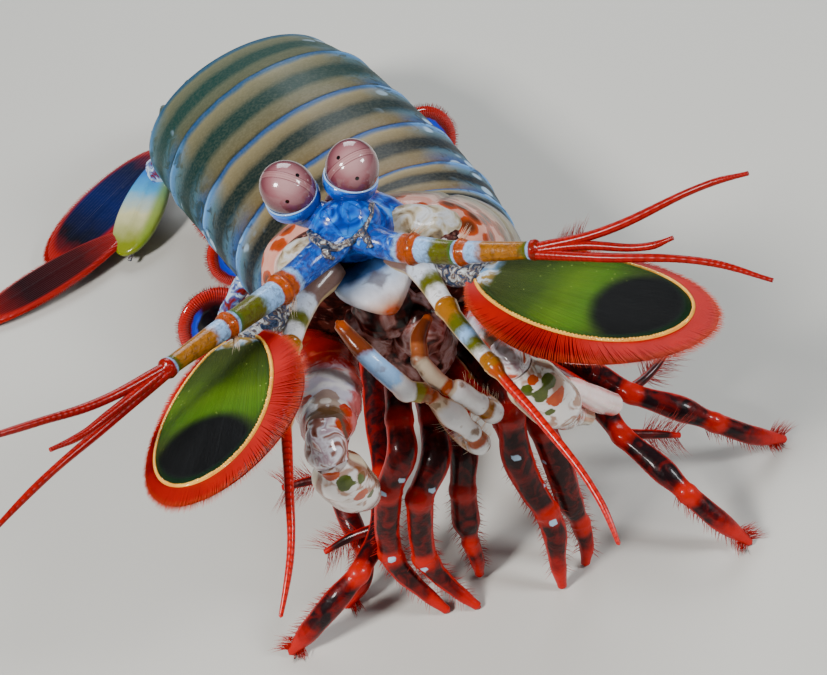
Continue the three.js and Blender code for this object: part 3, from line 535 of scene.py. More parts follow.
# c is the middle of a section, t the way the body runs there, a its half width, h the height of its
# back, b the depth of its belly, all in mm, and roll its lean in degrees
stations = [
    {"c": (4.4, 14.5, 24.5), "t": (0, 0.66, -0.75), "a": 11.9, "h": 7.6, "b": 4.4, "roll": 2},
    {"c": (4.4, 17.3, 21.4), "t": (0, 0.72, -0.69), "a": 12.8, "h": 8.0, "b": 4.2, "roll": 3},
    {"c": (4.3, 20.4, 18.7), "t": (-0.02, 0.8, -0.6), "a": 13.6, "h": 8.4, "b": 4.0, "roll": 5},
    {"c": (4.1, 24.0, 16.6), "t": (-0.08, 0.9, -0.4), "a": 14.4, "h": 8.9, "b": 3.6, "roll": 7},
    {"c": (3.2, 31.5, 15.0), "t": (-0.2, 0.96, -0.13), "a": 15.0, "h": 9.5, "b": 3.2, "roll": 8},
    {"c": (0.8, 42.0, 14.5), "t": (-0.28, 0.96, -0.02), "a": 15.2, "h": 9.7, "b": 3.0, "roll": 8},
    {"c": (-2.3, 52.5, 14.4), "t": (-0.29, 0.957, -0.03), "a": 15.2, "h": 9.7, "b": 3.0, "roll": 8},
    {"c": (-5.6, 63.0, 14.4), "t": (-0.28, 0.95, -0.08), "a": 15.1, "h": 9.7, "b": 3.0, "roll": 8},
    {"c": (-8.5, 72.4, 13.1), "t": (-0.27, 0.93, -0.26), "a": 14.3, "h": 9.0, "b": 2.9, "roll": 6},
    {"c": (-10.4, 79.9, 9.8), "t": (-0.2, 0.91, -0.36), "a": 12.0, "h": 6.6, "b": 2.6, "roll": 3},
]
somiteNames = ["thorax_somite_6", "thorax_somite_7", "thorax_somite_8"]
somiteNames += ["abdomen_somite_" + str(k) for k in range(1, 7)]


def stationRows(table, v):
    # station values at each place v, 0 to 1 from first to last
    spot = np.clip(v, 0, 1) * (len(table) - 1)
    rows = {}
    for key in ("a", "h", "b", "roll"):
        rows[key] = np.interp(spot, range(len(table)), [s[key] for s in table])
    for key in ("c", "t"):
        rows[key] = np.stack([np.interp(spot, range(len(table)), [s[key][k] for s in table])
                              for k in range(3)], axis=1)
    t = unit(rows["t"])
    left = unit(np.cross(t, np.array([0.0, 0.0, 1.0])))
    turn = -np.radians(rows["roll"])[:, None]
    left = left * np.cos(turn) + np.cross(t, left) * np.sin(turn)
    rows["left"] = left
    rows["up"] = unit(np.cross(left, t))
    over = np.where(v > 1, v - 1, np.where(v < 0, v, 0)) * (len(table) - 1)
    stretch = np.linalg.norm(np.subtract(table[-1]["c"], table[0]["c"])) / (len(table) - 1)
    rows["c"] = rows["c"] + t * (over * stretch)[:, None]
    return rows


def sectionOf(u, rows, swell, lobe):
    # arched back, then side lobes and belly; u runs once round
    share = body["archShare"]
    angle = math.pi * np.clip(u / share, 0, 1)
    w = np.clip((u - share) / (1 - share), 0, 1)
    a = rows["a"] + swell
    h = rows["h"] + swell
    s = np.sin(math.pi * w)
    corner = np.minimum(1, s / 0.12)
    lobes = np.abs(np.cos(math.pi * w)) ** 8 * corner
    x = np.where(u < share, a * np.cos(angle), -a * np.cos(math.pi * w) * (1 - 0.03 * corner))
    y = np.where(u < share, h * np.sin(angle) ** 0.86, -rows["b"] * s ** 0.7 - lobe * lobes)
    return x, y, angle


def somiteForm(index):
    table = stations[index:index + 2]
    last = len(somiteNames) - 1
    lobe = 0.9 if index < 3 else 1.0 if index == last else 1.7
    # the ring swells along its length to a raised hind rim, and both ends tuck in
    knots = [-0.05, 0.0, 0.06, 0.2, 0.6, 0.86, 0.95, 1.0, 1.035, 1.05]
    rise = [-0.75, -0.35, -0.02, 0.14, 0.26, 0.26, 0.36, 0.38, 0.2, -0.25]

    def form(u, v):
        spot = knots[0] + (knots[-1] - knots[0]) * v
        rows = stationRows(table, spot)
        swell = np.interp(spot, knots, rise)
        x, y, angle = sectionOf(u, rows, swell, lobe)
        if index == last:
            onBack = u < body["archShare"]
            for ridge in (0.3, 0.75, 1.2, 1.94, 2.39, 2.84):
                y = y + 0.55 * np.exp(-((angle - ridge) / 0.05) ** 2) * np.clip(spot * 1.4, 0, 1) * onBack
        points = rows["c"] + rows["left"] * x[:, None] + rows["up"] * y[:, None]
        side = np.where(u < body["archShare"], np.cos(angle), np.sign(x))
        values = {"band": spot, "side": side, "rear": np.full(len(u), index / last),
                  "under": (u > body["archShare"]).astype(float)}
        return points, values

    return form


def shellPaint():
    p = Paint("bodyShell", Coat_Weight=0.12, Coat_Roughness=0.25)
    band = p.value("band") + (p.noise(4.0, 2) - 0.5) * 0.09 + (p.noise(0.7, 2) - 0.5) * 0.012
    stops = [
        (0.0, body["brown"]), (0.05, body["brown"]), (0.1, rgb(98, 78, 44)), (0.27, body["tan"]),
        (0.38, body["dark"]), (0.58, body["dark"]), (0.7, body["tan"]), (0.88, rgb(128, 114, 82)),
        (0.935, rgb(46, 74, 110)), (0.975, body["edgeBlue"]), (1.0, rgb(22, 36, 56)),
    ]
    colour = p.ramp(band, stops)
    side = abs(p.value("side"))
    flankStops = [
        (0.0, rgb(10, 20, 30)), (0.12, body["flankBlue"]), (0.3, rgb(64, 104, 128)),
        (0.45, rgb(14, 24, 34)), (0.6, rgb(16, 34, 48)), (0.8, rgb(70, 110, 130)),
        (0.93, rgb(84, 140, 200)), (0.975, rgb(120, 180, 240)), (1.0, rgb(14, 26, 60)),
    ]
    flank = p.ramp(band, flankStops)
    blotch = p.step(p.noise(2.4, 3, 0.6, 1.2), 0.5, 0.62)
    flank = p.mix(blotch * 0.75, flank, rgb(8, 16, 26))
    share = p.step(side + (p.noise(5, 2) - 0.5) * 0.25, 0.62, 0.95)
    colour = p.mix(share, colour, flank)
    rear = p.step(p.value("rear"), 0.45, 1.0)
    colour = p.mix(rear * 0.55, colour, body["teal"])
    speckle = p.step(p.noise(0.35, 2), 0.35, 0.75)
    colour = p.mix(speckle * 0.05, colour, rgb(190, 180, 150))
    spot = p.cells(3.2)
    spots = p.step(spot, 0.32, 0.22) * share * p.step(p.noise(6, 1), 0.52, 0.6)
    colour = p.mix(spots * 0.8, colour, rgb(176, 206, 232))
    colour = p.mix(p.value("under") * 0.7, colour, rgb(196, 176, 150))
    height = p.noise(0.4, 2) * 0.3 + p.noise(1.6, 3)
    return p.finish(colour, 0.45 + p.noise(1.2) * 0.25, height, 0.06)


shellFinish = shellPaint()
for index, name in enumerate(somiteNames):
    ring = wrapGrid(name + "_shell", body["columns"], body["rows"], somiteForm(index), fill=True)
    dress(ring, shellFinish, "body_shell", name)

print("carapace and head")

carapace = {
    "pink": rgb(202, 122, 104),
    "spot": rgb(84, 34, 6),
    "back": rgb(128, 108, 66),
}
carapaceStations = [
    {"c": (2.4, -0.1, 40.3), "t": (0.05, 0.62, -0.78), "a": 9.4, "h": 4.6, "b": 1, "roll": -7},
    {"c": (2.6, 1.4, 38.3), "t": (0.05, 0.62, -0.78), "a": 11.1, "h": 6.1, "b": 1, "roll": -7},
    {"c": (3.2, 5.0, 33.8), "t": (0.04, 0.63, -0.77), "a": 12.5, "h": 7.8, "b": 1, "roll": -5},
    {"c": (3.9, 9.5, 28.4), "t": (0.02, 0.65, -0.76), "a": 13.3, "h": 9.2, "b": 1, "roll": -2},
    {"c": (4.4, 14.1, 23.5), "t": (0, 0.68, -0.73), "a": 13.5, "h": 9.7, "b": 1, "roll": 2},
]


def carapaceForm(u, v):
    # open shell over the head: long grooves, one groove across, raised rims and a rolled front edge
    rows = stationRows(carapaceStations, v)
    angle = -0.12 + (math.pi + 0.24) * u
    groove = sum(np.exp(-((angle - g) / 0.05) ** 2) for g in (0.95, 2.19)) * 0.3
    groove = groove + 0.22 * np.exp(-((v - 0.62 - 0.1 * np.sin(angle)) / 0.025) ** 2)
    rim = 0.18 * (np.exp(-((v - 0.98) / 0.02) ** 2) + np.exp(-(v / 0.02) ** 2))
    rolled = 3.2 * np.exp(-((angle - 0.6) / 0.5) ** 2) + 2.0 * np.exp(-((angle - 2.5) / 0.5) ** 2)
    inset = groove * np.clip(v * 6, 0, 1) - rim + rolled * np.clip(1 - v / 0.14, 0, 1) ** 1.6
    lift = np.sign(np.sin(angle)) * np.abs(np.sin(angle)) ** 0.86
    points = rows["c"] + rows["left"] * ((rows["a"] - inset) * np.cos(angle))[:, None]
    points = points + rows["up"] * ((rows["h"] - inset) * lift)[:, None]
    return points, {"band": v, "side": np.cos(angle)}


def carapacePaint():
    p = Paint("carapaceShell", Coat_Weight=0.5, Coat_Roughness=0.15)
    band = p.value("band")
    side = abs(p.value("side"))
    spot = p.cells(2.3)
    edge = p.noise(0.8, 3)
    leopard = p.step(spot + (edge - 0.5) * 0.2, 0.56, 0.48)
    pink = p.mix(p.noise(1.2, 2), carapace["pink"], rgb(222, 166, 148))
    brown = p.mix(p.step(spot, 0.2, 0.5), carapace["spot"], rgb(170, 62, 12))
    front = p.mix(leopard, pink, brown)
    front = p.mix(p.step(band, 0.05, 0.01) * 0.7, front, rgb(226, 206, 196))
    back = p.mix(p.noise(3.5, 3), carapace["back"], rgb(84, 92, 74))
    back = p.mix(leopard * 0.7, back, rgb(92, 58, 30))
    share = p.step(band + (1 - side) * 0.2, 0.3, 0.62)
    colour = p.mix(share, front, back)
    colour = p.mix(p.step(band, 0.955, 0.985), colour, body["edgeBlue"])
    return p.finish(colour, 0.3 + p.noise(1.0) * 0.2, p.noise(0.4, 3) + p.noise(2.0), 0.07)


shell = wrapGrid("carapace_shell", 110, 72, carapaceForm)
addModifier(shell, "SOLIDIFY", thickness=0.85 * mm, offset=-1)
addModifier(shell, "BEVEL", width=0.12 * mm, segments=2, limit_method="ANGLE", angle_limit=math.radians(50))
rostral = [[2.4, 5.0, 41.6, 0.5, 3.4], [1.8, 2.9, 44.8, 0.5, 2.8], [1.3, 1.0, 47.6, 0.45, 1.0]]
rostralPlate = drawLimb("rostral_plate", rostral, sides=7, steps=8, up=(0, 0.8, 0.6))
putAttribute(rostralPlate, "band", np.full(len(rostralPlate.data.vertices), 0.1))
putAttribute(rostralPlate, "side", np.full(len(rostralPlate.data.vertices), 0.9))
carapaceFinish = carapacePaint()
dress(shell, carapaceFinish, "body_shell", "carapace")
dress(rostralPlate, carapaceFinish, "body_shell")

head = {
    "wall": 1.0 + 0.36 * 1.9,
    "bellies": (3.2, 4.6, 6.2, 6.4, 5.2),
    "block": (1.0, -1.9, 45.4),
}
headStations = []
for station, belly in zip(carapaceStations, head["bellies"]):
    headStations.append(dict(station, a=station["a"] - head["wall"], h=station["h"] - head["wall"], b=belly))
headStations[4] = dict(headStations[4], c=(4.4, 13.9, 25.0), a=11.4, h=7.0, b=4.6)


def headForm(u, v):
    # closed body inside the shell, narrowed to a snout in front
    spot = -0.1 + 1.1 * v
    rows = stationRows(headStations, spot)
    swell = np.interp(spot, [-0.1, -0.085, -0.05, 0.0, 0.9, 1.0], [-6.5, -3.2, -0.4, 0.75, 0.7, 0.0])
    x, y, angle = sectionOf(u, rows, swell, 0.8)
    points = rows["c"] + rows["left"] * x[:, None] + rows["up"] * y[:, None]
    return points, {"band": v, "side": np.cos(angle)}


def fleshPaint():
    p = Paint("headFlesh", Coat_Weight=0.3)
    patches = p.step(p.noise(2.2, 4, 0.6, 1.0), 0.42, 0.6)
    colour = p.mix(patches, rgb(24, 6, 4), rgb(84, 34, 26))
    colour = p.mix(p.step(p.noise(1.1, 3), 0.62, 0.74), colour, rgb(150, 104, 92))
    return p.finish(colour, 0.35 + p.noise(1.0) * 0.2, p.noise(0.9, 3), 0.12)


def bluePaint():
    p = Paint("headBlue", Coat_Weight=0.5, Coat_Roughness=0.1)
    swirl = p.noise(2.6, 3, 0.5, 1.8)
    colour = p.ramp(swirl, [(0.3, rgb(2, 22, 90)), (0.45, rgb(2, 50, 150)), (0.56, rgb(4, 92, 200)),
                            (0.72, rgb(50, 150, 236))])
    crack = p.step(p.cells(2.2, "DISTANCE_TO_EDGE") + (p.noise(0.6) - 0.5) * 0.12, 0.04, 0.0)
    colour = p.mix(crack * 0.4, colour, rgb(2, 12, 60))
    return p.finish(colour, 0.25 + swirl * 0.2, swirl + p.noise(0.6, 2) * 0.2 + crack * -0.3, 0.12)


def ridgePaint():
    p = Paint("headRidge", Coat_Weight=0.4)
    mottled = p.noise(0.8, 4, 0.6, 1.5)
    colour = p.ramp(mottled, [(0.34, rgb(20, 24, 40)), (0.44, rgb(50, 70, 100)), (0.5, rgb(90, 66, 50)),
                              (0.58, rgb(150, 150, 150)), (0.7, rgb(206, 214, 216))])
    return p.finish(colour, 0.35, mottled + p.noise(0.3, 3) * 0.5, 0.14)


headBody = wrapGrid("head_body", 90, 60, headForm, fill=True)
dress(headBody, fleshPaint(), "head_blue", "head")
blueFinish = bluePaint()
ridgeFinish = ridgePaint()
block = ball("eye_block", head["block"], (3.5, 2.5, 3.0), (0.1, -0.35, 1), 64, 40, 0.2, 3.0)
neck = [[2.2, 2.0, 41.0, 4.2, 5.2], [1.2, -1.2, 44.2, 3.0, 4.0], [0.9, -2.8, 45.6, 2.0, 3.0]]
neckSkin = drawLimb("block_neck", neck, sides=9, steps=10)
dress(block, blueFinish, "head_blue")
dress(neckSkin, blueFinish, "head_blue")

print("eyes")

eye = {
    "radius": 2.5,
    "long": 2.72,
    "bandHalf": 0.13,
    "ring": 2.47,
    "ringThick": 0.1,
    "ringBack": 0.9,
    "cup": [(-3.0, 1.5), (-2.7, 2.0), (-2.35, 2.35), (-1.95, 2.55), (-1.5, 2.62), (-1.15, 2.6),
            (-0.95, 2.5)],
    # painted shade: the dark maroon the cornea turns to towards its outline as the viewer sees it
    "rim": rgb(74, 20, 32),
}
eyes = [  # band, spots and lean as seen by the viewer: to the right, up and forward
    {"side": "right", "centre": (-3.1, 0.0, 50.0), "foot": (-0.3, -1.7, 46.6),
     "band": (0.279, 0.894, -0.35), "spots": [(0.41, 0.41), (0.04, -0.556)],
     "lean": (-0.29, 0.57, 0.77)},
    {"side": "left", "centre": (3.1, 0.1, 50.0), "foot": (2.2, -1.6, 46.6),
     "band": (-0.487, 0.835, -0.26), "spots": [(-0.464, 0.286), (0.214, -0.464)],
     "lean": (0.14, 0.72, 0.68)},
]


def corneaPaint(side, middle, bandNormal, spots):
    p = Paint("cornea_" + side, Roughness=0.2, Coat_Weight=1.0, Coat_Roughness=0.03)
    offset = p.node("ShaderNodeVectorMath", {"operation": "SUBTRACT"}, {0: p.co, 1: middle})
    ray = p.node("ShaderNodeVectorMath", {"operation": "NORMALIZE"}, {0: offset})

    def dot(direction):
        return p.node("ShaderNodeVectorMath", {"operation": "DOT_PRODUCT"}, {0: ray, 1: direction}, 1)

    height = dot(bandNormal)
    # painted light and shade: the cornea darkens to a maroon rim where it turns away from the viewer and
    # lightens where it faces the viewer
    front = dot(inView(0.05, 0.12, 0.99).normalized())
    streak = p.node("ShaderNodeTexNoise", {}, {"Vector": offset, "Scale": 900, "Detail": 4})
    colour = p.ramp(front, [(0.0, rgb(40, 6, 14)), (0.3, eye["rim"]), (0.55, rgb(102, 48, 56)),
                            (0.8, rgb(148, 98, 102)), (1.0, rgb(184, 144, 144))])
    colour = p.mix(streak * 0.25, colour, rgb(150, 92, 104))
    inBand = p.step(abs(height), eye["bandHalf"] + 0.015, eye["bandHalf"] - 0.015)
    colour = p.mix(inBand * 0.3, colour, rgb(190, 142, 140))
    hoops = p.stripes(height * 40)
    colour = p.mix(p.step(hoops, 0.5, 0.7) * 0.3, colour, rgb(110, 56, 66))
    lines = p.step(abs(abs(height) - eye["bandHalf"]), 0.02, 0.006)
    inner = p.step(abs(abs(height) - eye["bandHalf"] * 0.36), 0.012, 0.003)
    colour = p.mix((lines * 0.75) + (inner * 0.4), colour, rgb(96, 40, 52))
    for spot in spots:
        depth = math.sqrt(1 - spot[0] ** 2 - spot[1] ** 2)
        near = dot(inView(spot[0], spot[1], depth))
        colour = p.mix(p.step(near, 0.9962, 0.9978), colour, rgb(8, 2, 4))
    facets = p.cells(0.16) * 0.4 - lines * 0.8 - inner * 0.3
    return p.finish(colour, height=facets, depth=0.02)


def cupPaint():
    p = Paint("eyeCup", Coat_Weight=0.7, Coat_Roughness=0.1)
    along = p.value("along") + (p.noise(1.2) - 0.5) * 0.25
    colour = p.ramp(along / 7, [(0.0, rgb(8, 50, 140)), (0.35, rgb(6, 70, 176)), (0.55, rgb(14, 104, 214)),
                                (0.74, rgb(6, 78, 190)), (0.86, rgb(24, 120, 226)), (1.0, rgb(10, 60, 160))])
    dark = p.step(p.noise(0.9, 4, 0.6, 1.5), 0.56, 0.7)
    colour = p.mix(dark * 0.6, colour, rgb(6, 30, 100))
    return p.finish(colour, 0.28, p.noise(0.8, 3) + p.noise(0.25) * 0.3, 0.07)


def ringPaint():
    p = Paint("eyeRing", Coat_Weight=0.8)
    colour = p.mix(p.noise(1.0, 2), rgb(120, 170, 230), rgb(190, 214, 244))
    return p.finish(colour, 0.25, p.noise(0.3), 0.03)


cupFinish = cupPaint()
ringFinish = ringPaint()
for eyeData in eyes:
    side = eyeData["side"]
    centre = np.array(eyeData["centre"])
    foot = np.array(eyeData["foot"])
    axis = unit(centre - foot)
    cornea = ball("cornea_dome_" + side, centre, (eye["radius"], eye["radius"], eye["long"]), axis, 96, 64)
    middle = place(*centre)
    bandNormal = inView(*eyeData["band"]).normalized()
    for vertex in cornea.data.vertices:
        gap = (vertex.co - middle).dot(bandNormal) / (eye["radius"] * mm)
        pinch = math.exp(-((abs(gap) - eye["bandHalf"]) / 0.03) ** 2) * 0.035
        vertex.co += (middle - vertex.co).normalized() * pinch * mm
    dress(cornea, corneaPaint(side, middle, bandNormal, eyeData["spots"]), "cornea", "cornea_" + side)
    lean = unit(inView(*eyeData["lean"]))
    joints = [[*foot, 1.4]]
    joints += [[*(centre + lean * reach), radius] for reach, radius in eye["cup"]]
    cup = drawLimb("eyestalk_cup_" + side, joints, sides=14, steps=5)
    dress(cup, cupFinish, "head_blue", "eyestalk_" + side)
    bpy.ops.object.select_all(action="DESELECT")
    bpy.ops.mesh.primitive_torus_add(major_radius=eye["ring"] * mm, minor_radius=eye["ringThick"] * mm,
                                     major_segments=96, minor_segments=14, location=(0, 0, 0))
    ring = bpy.context.object
    ring.data.transform(Matrix.Translation(place(*(centre - lean * eye["ringBack"]))) @ turnTo(lean))
    ring.name = "eye_ring_" + side
    bpy.ops.object.shade_smooth()
    dress(ring, ringFinish, "head_blue")

print("feelers")

antennules = {
    "right": {
        "peduncle": [[0.2, -2.9, 45.0, 1.7], [-4.6, -6.8, 45.2, 1.35], [-6.3, -8.6, 45.6, 1.55],
                     [-6.9, -9.2, 45.8, 1.2], [-10.6, -13.3, 47.3, 1.1], [-11.2, -13.9, 47.6, 1.3],
                     [-11.8, -14.5, 47.8, 1.0], [-16.0, -18.5, 49.0, 0.8], [-16.7, -19.2, 49.2, 0.95]],
        "flagella": [
            [[-16.7, -19.1, 49.3, 0.5], [-22.3, -22.8, 50.8, 0.42], [-27.0, -25.9, 53.2, 0.34],
             [-33.0, -29.6, 56.2, 0.2]],
            [[-16.9, -19.3, 49.2, 0.5], [-21.7, -23.5, 49.9, 0.4], [-24.2, -25.7, 50.4, 0.33],
             [-26.5, -27.5, 51.4, 0.2]],
            [[-16.8, -19.5, 49.0, 0.5], [-22.0, -23.2, 48.8, 0.42], [-28.0, -28.0, 49.0, 0.34],
             [-33.6, -32.4, 48.3, 0.2]],
        ],
    },
    "left": {
        "peduncle": [[1.6, -2.9, 45.0, 1.7], [4.6, -5.8, 44.4, 1.35], [6.3, -7.2, 44.5, 1.55],
                     [6.9, -7.7, 44.6, 1.2], [9.7, -10.1, 45.0, 1.1], [10.3, -10.6, 45.2, 1.3],
                     [11.0, -11.2, 45.4, 1.0], [15.5, -14.4, 46.3, 0.8], [16.3, -15.0, 46.5, 0.95]],
        "flagella": [
            [[16.2, -14.9, 46.6, 0.5], [21.8, -17.2, 48.0, 0.42], [31.4, -19.6, 51.5, 0.3],
             [34.2, -21.2, 52.6, 0.2]],
            [[16.5, -15.2, 46.5, 0.5], [19.9, -17.0, 47.1, 0.42], [25.3, -20.3, 47.5, 0.34],
             [27.2, -21.0, 48.2, 0.2]],
            [[16.3, -15.4, 46.3, 0.5], [20.6, -18.4, 46.6, 0.42], [29.3, -23.5, 46.6, 0.32],
             [33.6, -26.9, 45.6, 0.2]],
        ],
    },
}
antennae = {
    "right": [[-1.6, -2.6, 41.6, 1.7], [-4.6, -6.0, 41.5, 1.25], [-6.6, -10.6, 41.4, 0.95],
              [-6.9, -11.4, 41.4, 1.15], [-7.2, -12.6, 41.3, 0.9], [-8.1, -18.2, 41.0, 0.72],
              [-8.6, -19.6, 40.9, 0.85], [-8.9, -21.2, 40.5, 0.5], [-9.9, -26.4, 38.7, 0.42],
              [-11.2, -31.2, 36.0, 0.34], [-13.4, -35.0, 33.1, 0.2]],
    "left": [[4.8, -2.6, 41.2, 1.7], [6.3, -5.2, 40.9, 1.3], [7.4, -10.2, 40.1, 1.0],
             [7.6, -11.0, 40.0, 1.15], [7.9, -12.4, 39.8, 0.9], [9.5, -17.7, 38.8, 0.75],
             [9.9, -18.8, 38.6, 0.9], [10.4, -20.2, 38.0, 0.5], [12.3, -24.6, 36.1, 0.42],
             [15.0, -31.9, 32.1, 0.32], [15.4, -35.2, 29.7, 0.2]],
}


def antennulePaint():
    p = Paint("antennuleStem", Coat_Weight=0.3, Coat_Roughness=0.12)
    along = p.value("along") + (p.noise(0.8) - 0.5) * 0.3
    colour = p.bands(along, 8, [
        (0, blue), (1.25, paleBlue), (1.5, orange), (2.9, paleBlue), (3.4, olive), (4.0, rgb(60, 96, 30)),
        (4.35, paleBlue), (4.75, orange), (5.9, paleBlue), (6.2, gold), (7.0, olive), (7.45, paleBlue),
        (7.68, deepRed)])
    swirl = p.step(p.noise(1.5, 4, 0.6, 2.0), 0.42, 0.6)
    inBlue = p.step(along, 1.5, 1.2)
    colour = p.mix(swirl * inBlue * 0.8, colour, rgb(10, 46, 130))
    pale = p.step(p.noise(1.1, 3, 0.5, 1.0), 0.6, 0.7) * inBlue
    colour = p.mix(pale * 0.7, colour, rgb(150, 196, 240))
    mottle = p.step(p.noise(0.6, 3, 0.6, 1.0), 0.45, 0.65)
    colour = p.mix(mottle * 0.45, colour, rgb(70, 40, 4))
    return p.finish(colour, 0.3, swirl * 0.4 + p.noise(0.5, 3), 0.1)


def flagellumPaint():
    p = Paint("flagellumRed", Coat_Weight=0.2, Coat_Roughness=0.15)
    rings = (p.value("along") * 70).sine()
    colour = p.mix(p.noise(1.5, 2), rgb(120, 4, 2), rgb(170, 14, 4))
    colour = p.mix(p.step(rings, 0.2, 1.0) * 0.3, colour, rgb(80, 4, 2))
    return p.finish(colour, 0.32, rings, 0.015)


def antennaPaint():
    p = Paint("antennaStem", Coat_Weight=0.3, Coat_Roughness=0.12)
    along = p.value("along") + (p.noise(0.8) - 0.5) * 0.26
    colour = p.bands(along, 10, [
        (0, rgb(110, 84, 76)), (1.0, rgb(196, 204, 216)), (1.45, olive), (1.75, white), (2.55, gold),
        (3.6, gold), (4.1, olive), (4.42, paleBlue), (4.62, olive), (4.9, white), (5.15, gold),
        (6.3, orange), (7.0, brightRed)])
    rings = (p.value("along") * 60).sine()
    tail = p.step(along, 7, 7.3)
    colour = p.mix(p.step(rings, 0.2, 1.0) * tail * 0.5, colour, rgb(96, 8, 6))
    mottle = p.step(p.noise(0.6, 3, 0.6, 1.0), 0.5, 0.7) * (1 - tail)
    colour = p.mix(mottle * 0.4, colour, rgb(80, 60, 20))
    edge = p.step(abs(p.value("edge")), 0.86, 0.97) * (1 - tail)
    colour = p.mix(edge * 0.6, colour, rgb(216, 190, 140))
    return p.finish(colour, 0.3, rings * tail * 0.3 + p.noise(0.5, 3), 0.04)


def ringed(joints, knots):
    # raised collars at the joints whose numbers are given, each with a dip on both sides
    dipShare = 0.22
    dense = []
    for k, joint in enumerate(joints):
        if k in knots and 0 < k < len(joints) - 1:
            before = [joint[n] + (joints[k - 1][n] - joint[n]) * dipShare for n in range(3)]
            after = [joint[n] + (joints[k + 1][n] - joint[n]) * dipShare for n in range(3)]
            dense.append([*before, joint[3] * 0.9])
            dense.append(list(joint[:3]) + [joint[3]])
            dense.append([*after, joint[3] * 0.92])
        else:
            dense.append(list(joint[:4]))
    # rounded end
    end, before = joints[-1], joints[-2]
    ahead = unit([end[n] - before[n] for n in range(3)]) * end[3] * 0.8
    dense.append([*(np.array(end[:3]) + ahead), end[3] * 0.3])
    return dense


def retime(obj, joints):
    # the finish counts along the plain joints
    along = nearest(millimetres(obj), joints)[0]
    obj.data.attributes["along"].data.foreach_set("value", along.astype(np.float32))
    putAttribute(obj, "end", along / (len(joints) - 1))


antennuleFinish = antennulePaint()
flagellumFinish = flagellumPaint()
antennaFinish = antennaPaint()
for side, data in antennules.items():
    stem = drawLimb("antennule_stem_" + side, ringed(data["peduncle"], (2, 5)), sides=8, steps=7)
    retime(stem, data["peduncle"])
    dress(stem, antennuleFinish, "feeler", "antennule_" + side)
    whips = [drawLimb("whip", joints, sides=4, steps=40) for joints in data["flagella"]]
    whips = joinAll("antennule_whips_" + side, whips)
    dress(whips, flagellumFinish, "feeler", "antennule_flagella_" + side)

# crumpled ridges round the lower edge of the blue block, as picture points across and down
ridgeLines = [
    [(302, 222), (308, 231), (317, 238), (327, 243), (337, 246), (347, 243), (356, 236), (364, 227)],
    [(305, 228), (314, 237), (323, 246), (333, 250), (344, 247), (353, 241), (361, 232)],
    [(361, 232), (366, 224), (371, 214), (373, 204)],
    [(367, 222), (364, 231), (366, 240), (371, 248)],
    [(318, 240), (323, 248), (328, 256), (334, 260)],
    [(312, 236), (320, 242), (328, 250)],
]
random.seed(11)
ridgePieces = []
blockParts = [bpy.data.objects[name] for name in ("eye_block", "block_neck", "antennule_stem_right",
                                                  "antennule_stem_left")]
for number, line in enumerate(ridgeLines):
    joints = []
    for k in range(len(line) * 2 - 1):
        first = line[k // 2]
        second = line[min(k // 2 + k % 2, len(line) - 1)]
        across = (first[0] + second[0]) / 2 + random.uniform(-1.2, 1.2)
        down = (first[1] + second[1]) / 2 + random.uniform(-1.2, 1.2)
        spot = hitPoint(blockParts, across, down)
        if spot is not None:
            joints.append([*(spot + np.array(toCamera) * 0.05), random.uniform(0.14, 0.4)])
    ridgePieces.append(drawLimb("ridge_" + str(number), joints, sides=4, steps=4))
ridges = joinAll("block_ridges", ridgePieces)
dress(ridges, ridgeFinish, "head_blue")

# pale swollen bases of the antennae, under the front edge of the shell
antennaBases = {
    "left": ((7.4, -0.1, 41.2), (2.4, 2.2, 4.6), (0.8, 0.2, -0.4)),
    "right": ((-3.4, -0.4, 42.0), (2.0, 1.8, 3.2), (-0.8, 0.2, -0.25)),
}


def basePaint():
    p = Paint("antennaBase", Coat_Weight=0.3, Coat_Roughness=0.15)
    mottled = p.noise(1.9, 3, 0.5, 0.8)
    colour = p.ramp(mottled, [(0.3, rgb(64, 50, 40)), (0.4, rgb(136, 116, 88)), (0.5, rgb(184, 172, 148)),
                              (0.62, rgb(200, 202, 206)), (0.76, rgb(132, 112, 78))])
    return p.finish(colour, 0.3, mottled + p.noise(0.5, 3) * 0.4, 0.12)


baseFinish = basePaint()
for side, (centre, radii, along) in antennaBases.items():
    base = ball("antenna_base_" + side, centre, radii, along, 48, 32, 0.25, 2.0)
    dress(base, baseFinish, "head_blue")
for side, joints in antennae.items():
    stem = drawLimb("antenna_stem_" + side, ringed(joints, (3, 6)), sides=8, steps=12)
    retime(stem, joints)
    dress(stem, antennaFinish, "feeler", "antenna_" + side)

print("antennal scales")

scale = {
    "length": 21.5,
    "width": 9.8,
    "thickness": 0.95,
    "fringeInner": 3.3,
    "fringeOuter": 0.8,
    "setae": 460,
    "beads": 150,
    "rimJoints": 60,
    "hollow": 0.012,
}
scales = {
    "right": {"root": (-4.6, -4.2, 41.0), "base": (-10.8, -10.6, 43.4), "tip": (-16.6, -30.0, 46.2),
              "across": (1, -0.1, 0.1), "inner": 1},
    "left": {"root": (7.4, -3.8, 39.6), "base": (11.3, -9.2, 41.6), "tip": (26.1, -23.1, 41.5),
             "across": (0.62, 0.76, 0.02), "inner": -1},
}


def fringeReach(angle, inner):
    # how far the fringe stands out: wide on the inner side, narrow outside, none at the root
    rise = math.sin(angle) * inner
    share = 0.8 + 0.2 * rise if rise > 0 else 0.8 * (1 + rise) ** 0.7
    wide = scale["fringeOuter"] + (scale["fringeInner"] - scale["fringeOuter"]) * share
    return wide * (1 - 0.85 * max(0, -math.cos(angle)) ** 4)


